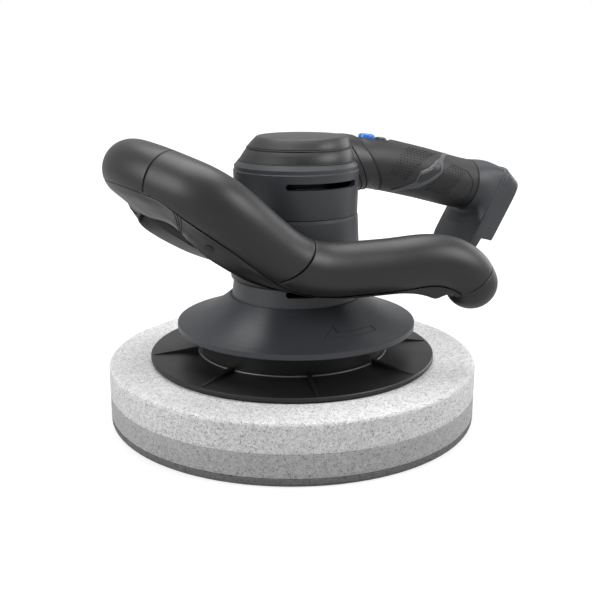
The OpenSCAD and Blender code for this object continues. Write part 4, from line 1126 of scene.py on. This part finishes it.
class POLISHER_OT_stage(bpy.types.Operator):
    """Sets the floor, the soft studio light and the camera"""
    bl_idname = "polisher.stage"
    bl_label = "Stage"

    def execute(self, context):
        scene = context.scene
        scene.view_settings.view_transform = "Standard"

        bm = bmesh.new()
        bmesh.ops.create_circle(bm, cap_ends=True, segments=64, radius=6)
        mesh = bpy.data.meshes.new("studio_floor")
        bm.to_mesh(mesh)
        bm.free()
        floor = add("studio_floor", mesh)

        # Painted board: pale and matt, lifted to white for the camera and less so in reflections
        board, tree, coords = start_material("painted_board")
        matt = put(tree, "ShaderNodeBsdfDiffuse", {"Color": (0.35, 0.35, 0.35, 1)})
        # Far from the part, where no shadow reaches, the board runs into the white behind it
        reach = put(tree, "ShaderNodeVectorMath", {"operation": "LENGTH"}, {0: coords})
        fade = spread(tree, reach.outputs["Value"], 0.25, 0.8, 0.72)
        lift = put(tree, "ShaderNodeMath", {"operation": "MULTIPLY"}, {0: brightness(tree), 1: fade})
        glow = put(tree, "ShaderNodeEmission", {"Color": (1, 1, 1, 1)}, {"Strength": lift.outputs[0]})
        both = put(tree, "ShaderNodeAddShader", links={0: matt.outputs[0], 1: glow.outputs[0]})
        put(tree, "ShaderNodeOutputMaterial", links={"Surface": both.outputs[0]})
        mesh.materials.append(board)

        world = bpy.data.worlds.new("studio")
        scene.world = world
        world.use_nodes = True
        tree = world.node_tree
        tree.nodes.clear()
        # White behind the part for the camera, and a dim even fill for the light that falls on it
        level = spread(tree, brightness(tree), 0, 1, 0.26)
        back = put(tree, "ShaderNodeBackground", {"Color": (1, 1, 1, 1)}, {"Strength": level})
        put(tree, "ShaderNodeOutputWorld", links={"Surface": back.outputs[0]})

        # Name, place and width in metres, and watts of each lamp, all of which face the part's middle
        middle = Vector((0, 0, 0.1))
        lamps = [("key_light", (0.1, 0.25, 1.2), 1.0, 12.5), ("left_light", (-1.2, -0.05, 0.7), 0.7, 10),
                 ("right_light", (0.85, -0.95, 0.95), 0.8, 13), ("rim_light", (1.2, 0.2, 0.4), 0.7, 3.5)]
        for name, place, size, power in lamps:
            lamp = bpy.data.lights.new(name, "AREA")
            lamp.size = size
            lamp.energy = power
            holder = add(name, lamp)
            holder.location = place
            aim = middle - Vector(place)
            holder.rotation_euler = aim.to_track_quat("-Z", "Y").to_euler()

        lens = bpy.data.cameras.new("studio_camera")
        # Focal length and picture width in pixels, as found from the object's ellipses
        focal, width = 889, 592
        lens.sensor_width = 36
        lens.lens = lens.sensor_width*focal/width
        camera = add("studio_camera", lens)
        camera.location = (-0.2860, -0.5160, 0.238)
        camera.rotation_euler = (radians(75.03), 0, radians(-29))
        scene.camera = camera
        return {"FINISHED"}


class POLISHER_PT_pieces(bpy.types.Panel):
    """Lists the polisher's pieces, sizes and colours"""
    bl_idname = "POLISHER_PT_pieces"
    bl_label = "Polisher"
    bl_space_type = "VIEW_3D"
    bl_region_type = "UI"
    bl_category = "Polisher"

    def draw(self, context):
        for made in PIECES:
            self.layout.operator(made.bl_idname)
        for group in (context.scene.polisher_sizes, context.scene.polisher_colours):
            box = self.layout.box()
            for key in group.__annotations__:
                box.prop(group, key)


PIECES = (POLISHER_OT_stage, POLISHER_OT_foam_pad, POLISHER_OT_backing_plate, POLISHER_OT_inner_works,
          POLISHER_OT_housing, POLISHER_OT_bow_frame, POLISHER_OT_bow_covers, POLISHER_OT_rear_grip,
          POLISHER_OT_keys, POLISHER_OT_battery_foot)
CLASSES = (PolisherColours, PolisherSizes) + PIECES + (POLISHER_PT_pieces,)


def register():
    for made in CLASSES:
        bpy.utils.register_class(made)
    bpy.types.Scene.polisher_colours = PointerProperty(type=PolisherColours)
    bpy.types.Scene.polisher_sizes = PointerProperty(type=PolisherSizes)


def unregister():
    del bpy.types.Scene.polisher_sizes
    del bpy.types.Scene.polisher_colours
    for made in reversed(CLASSES):
        bpy.utils.unregister_class(made)


def main():
    register()
    for made in PIECES:
        group, call = made.bl_idname.split(".")
        getattr(getattr(bpy.ops, group), call)()


if __name__ == "__main__":
    main()
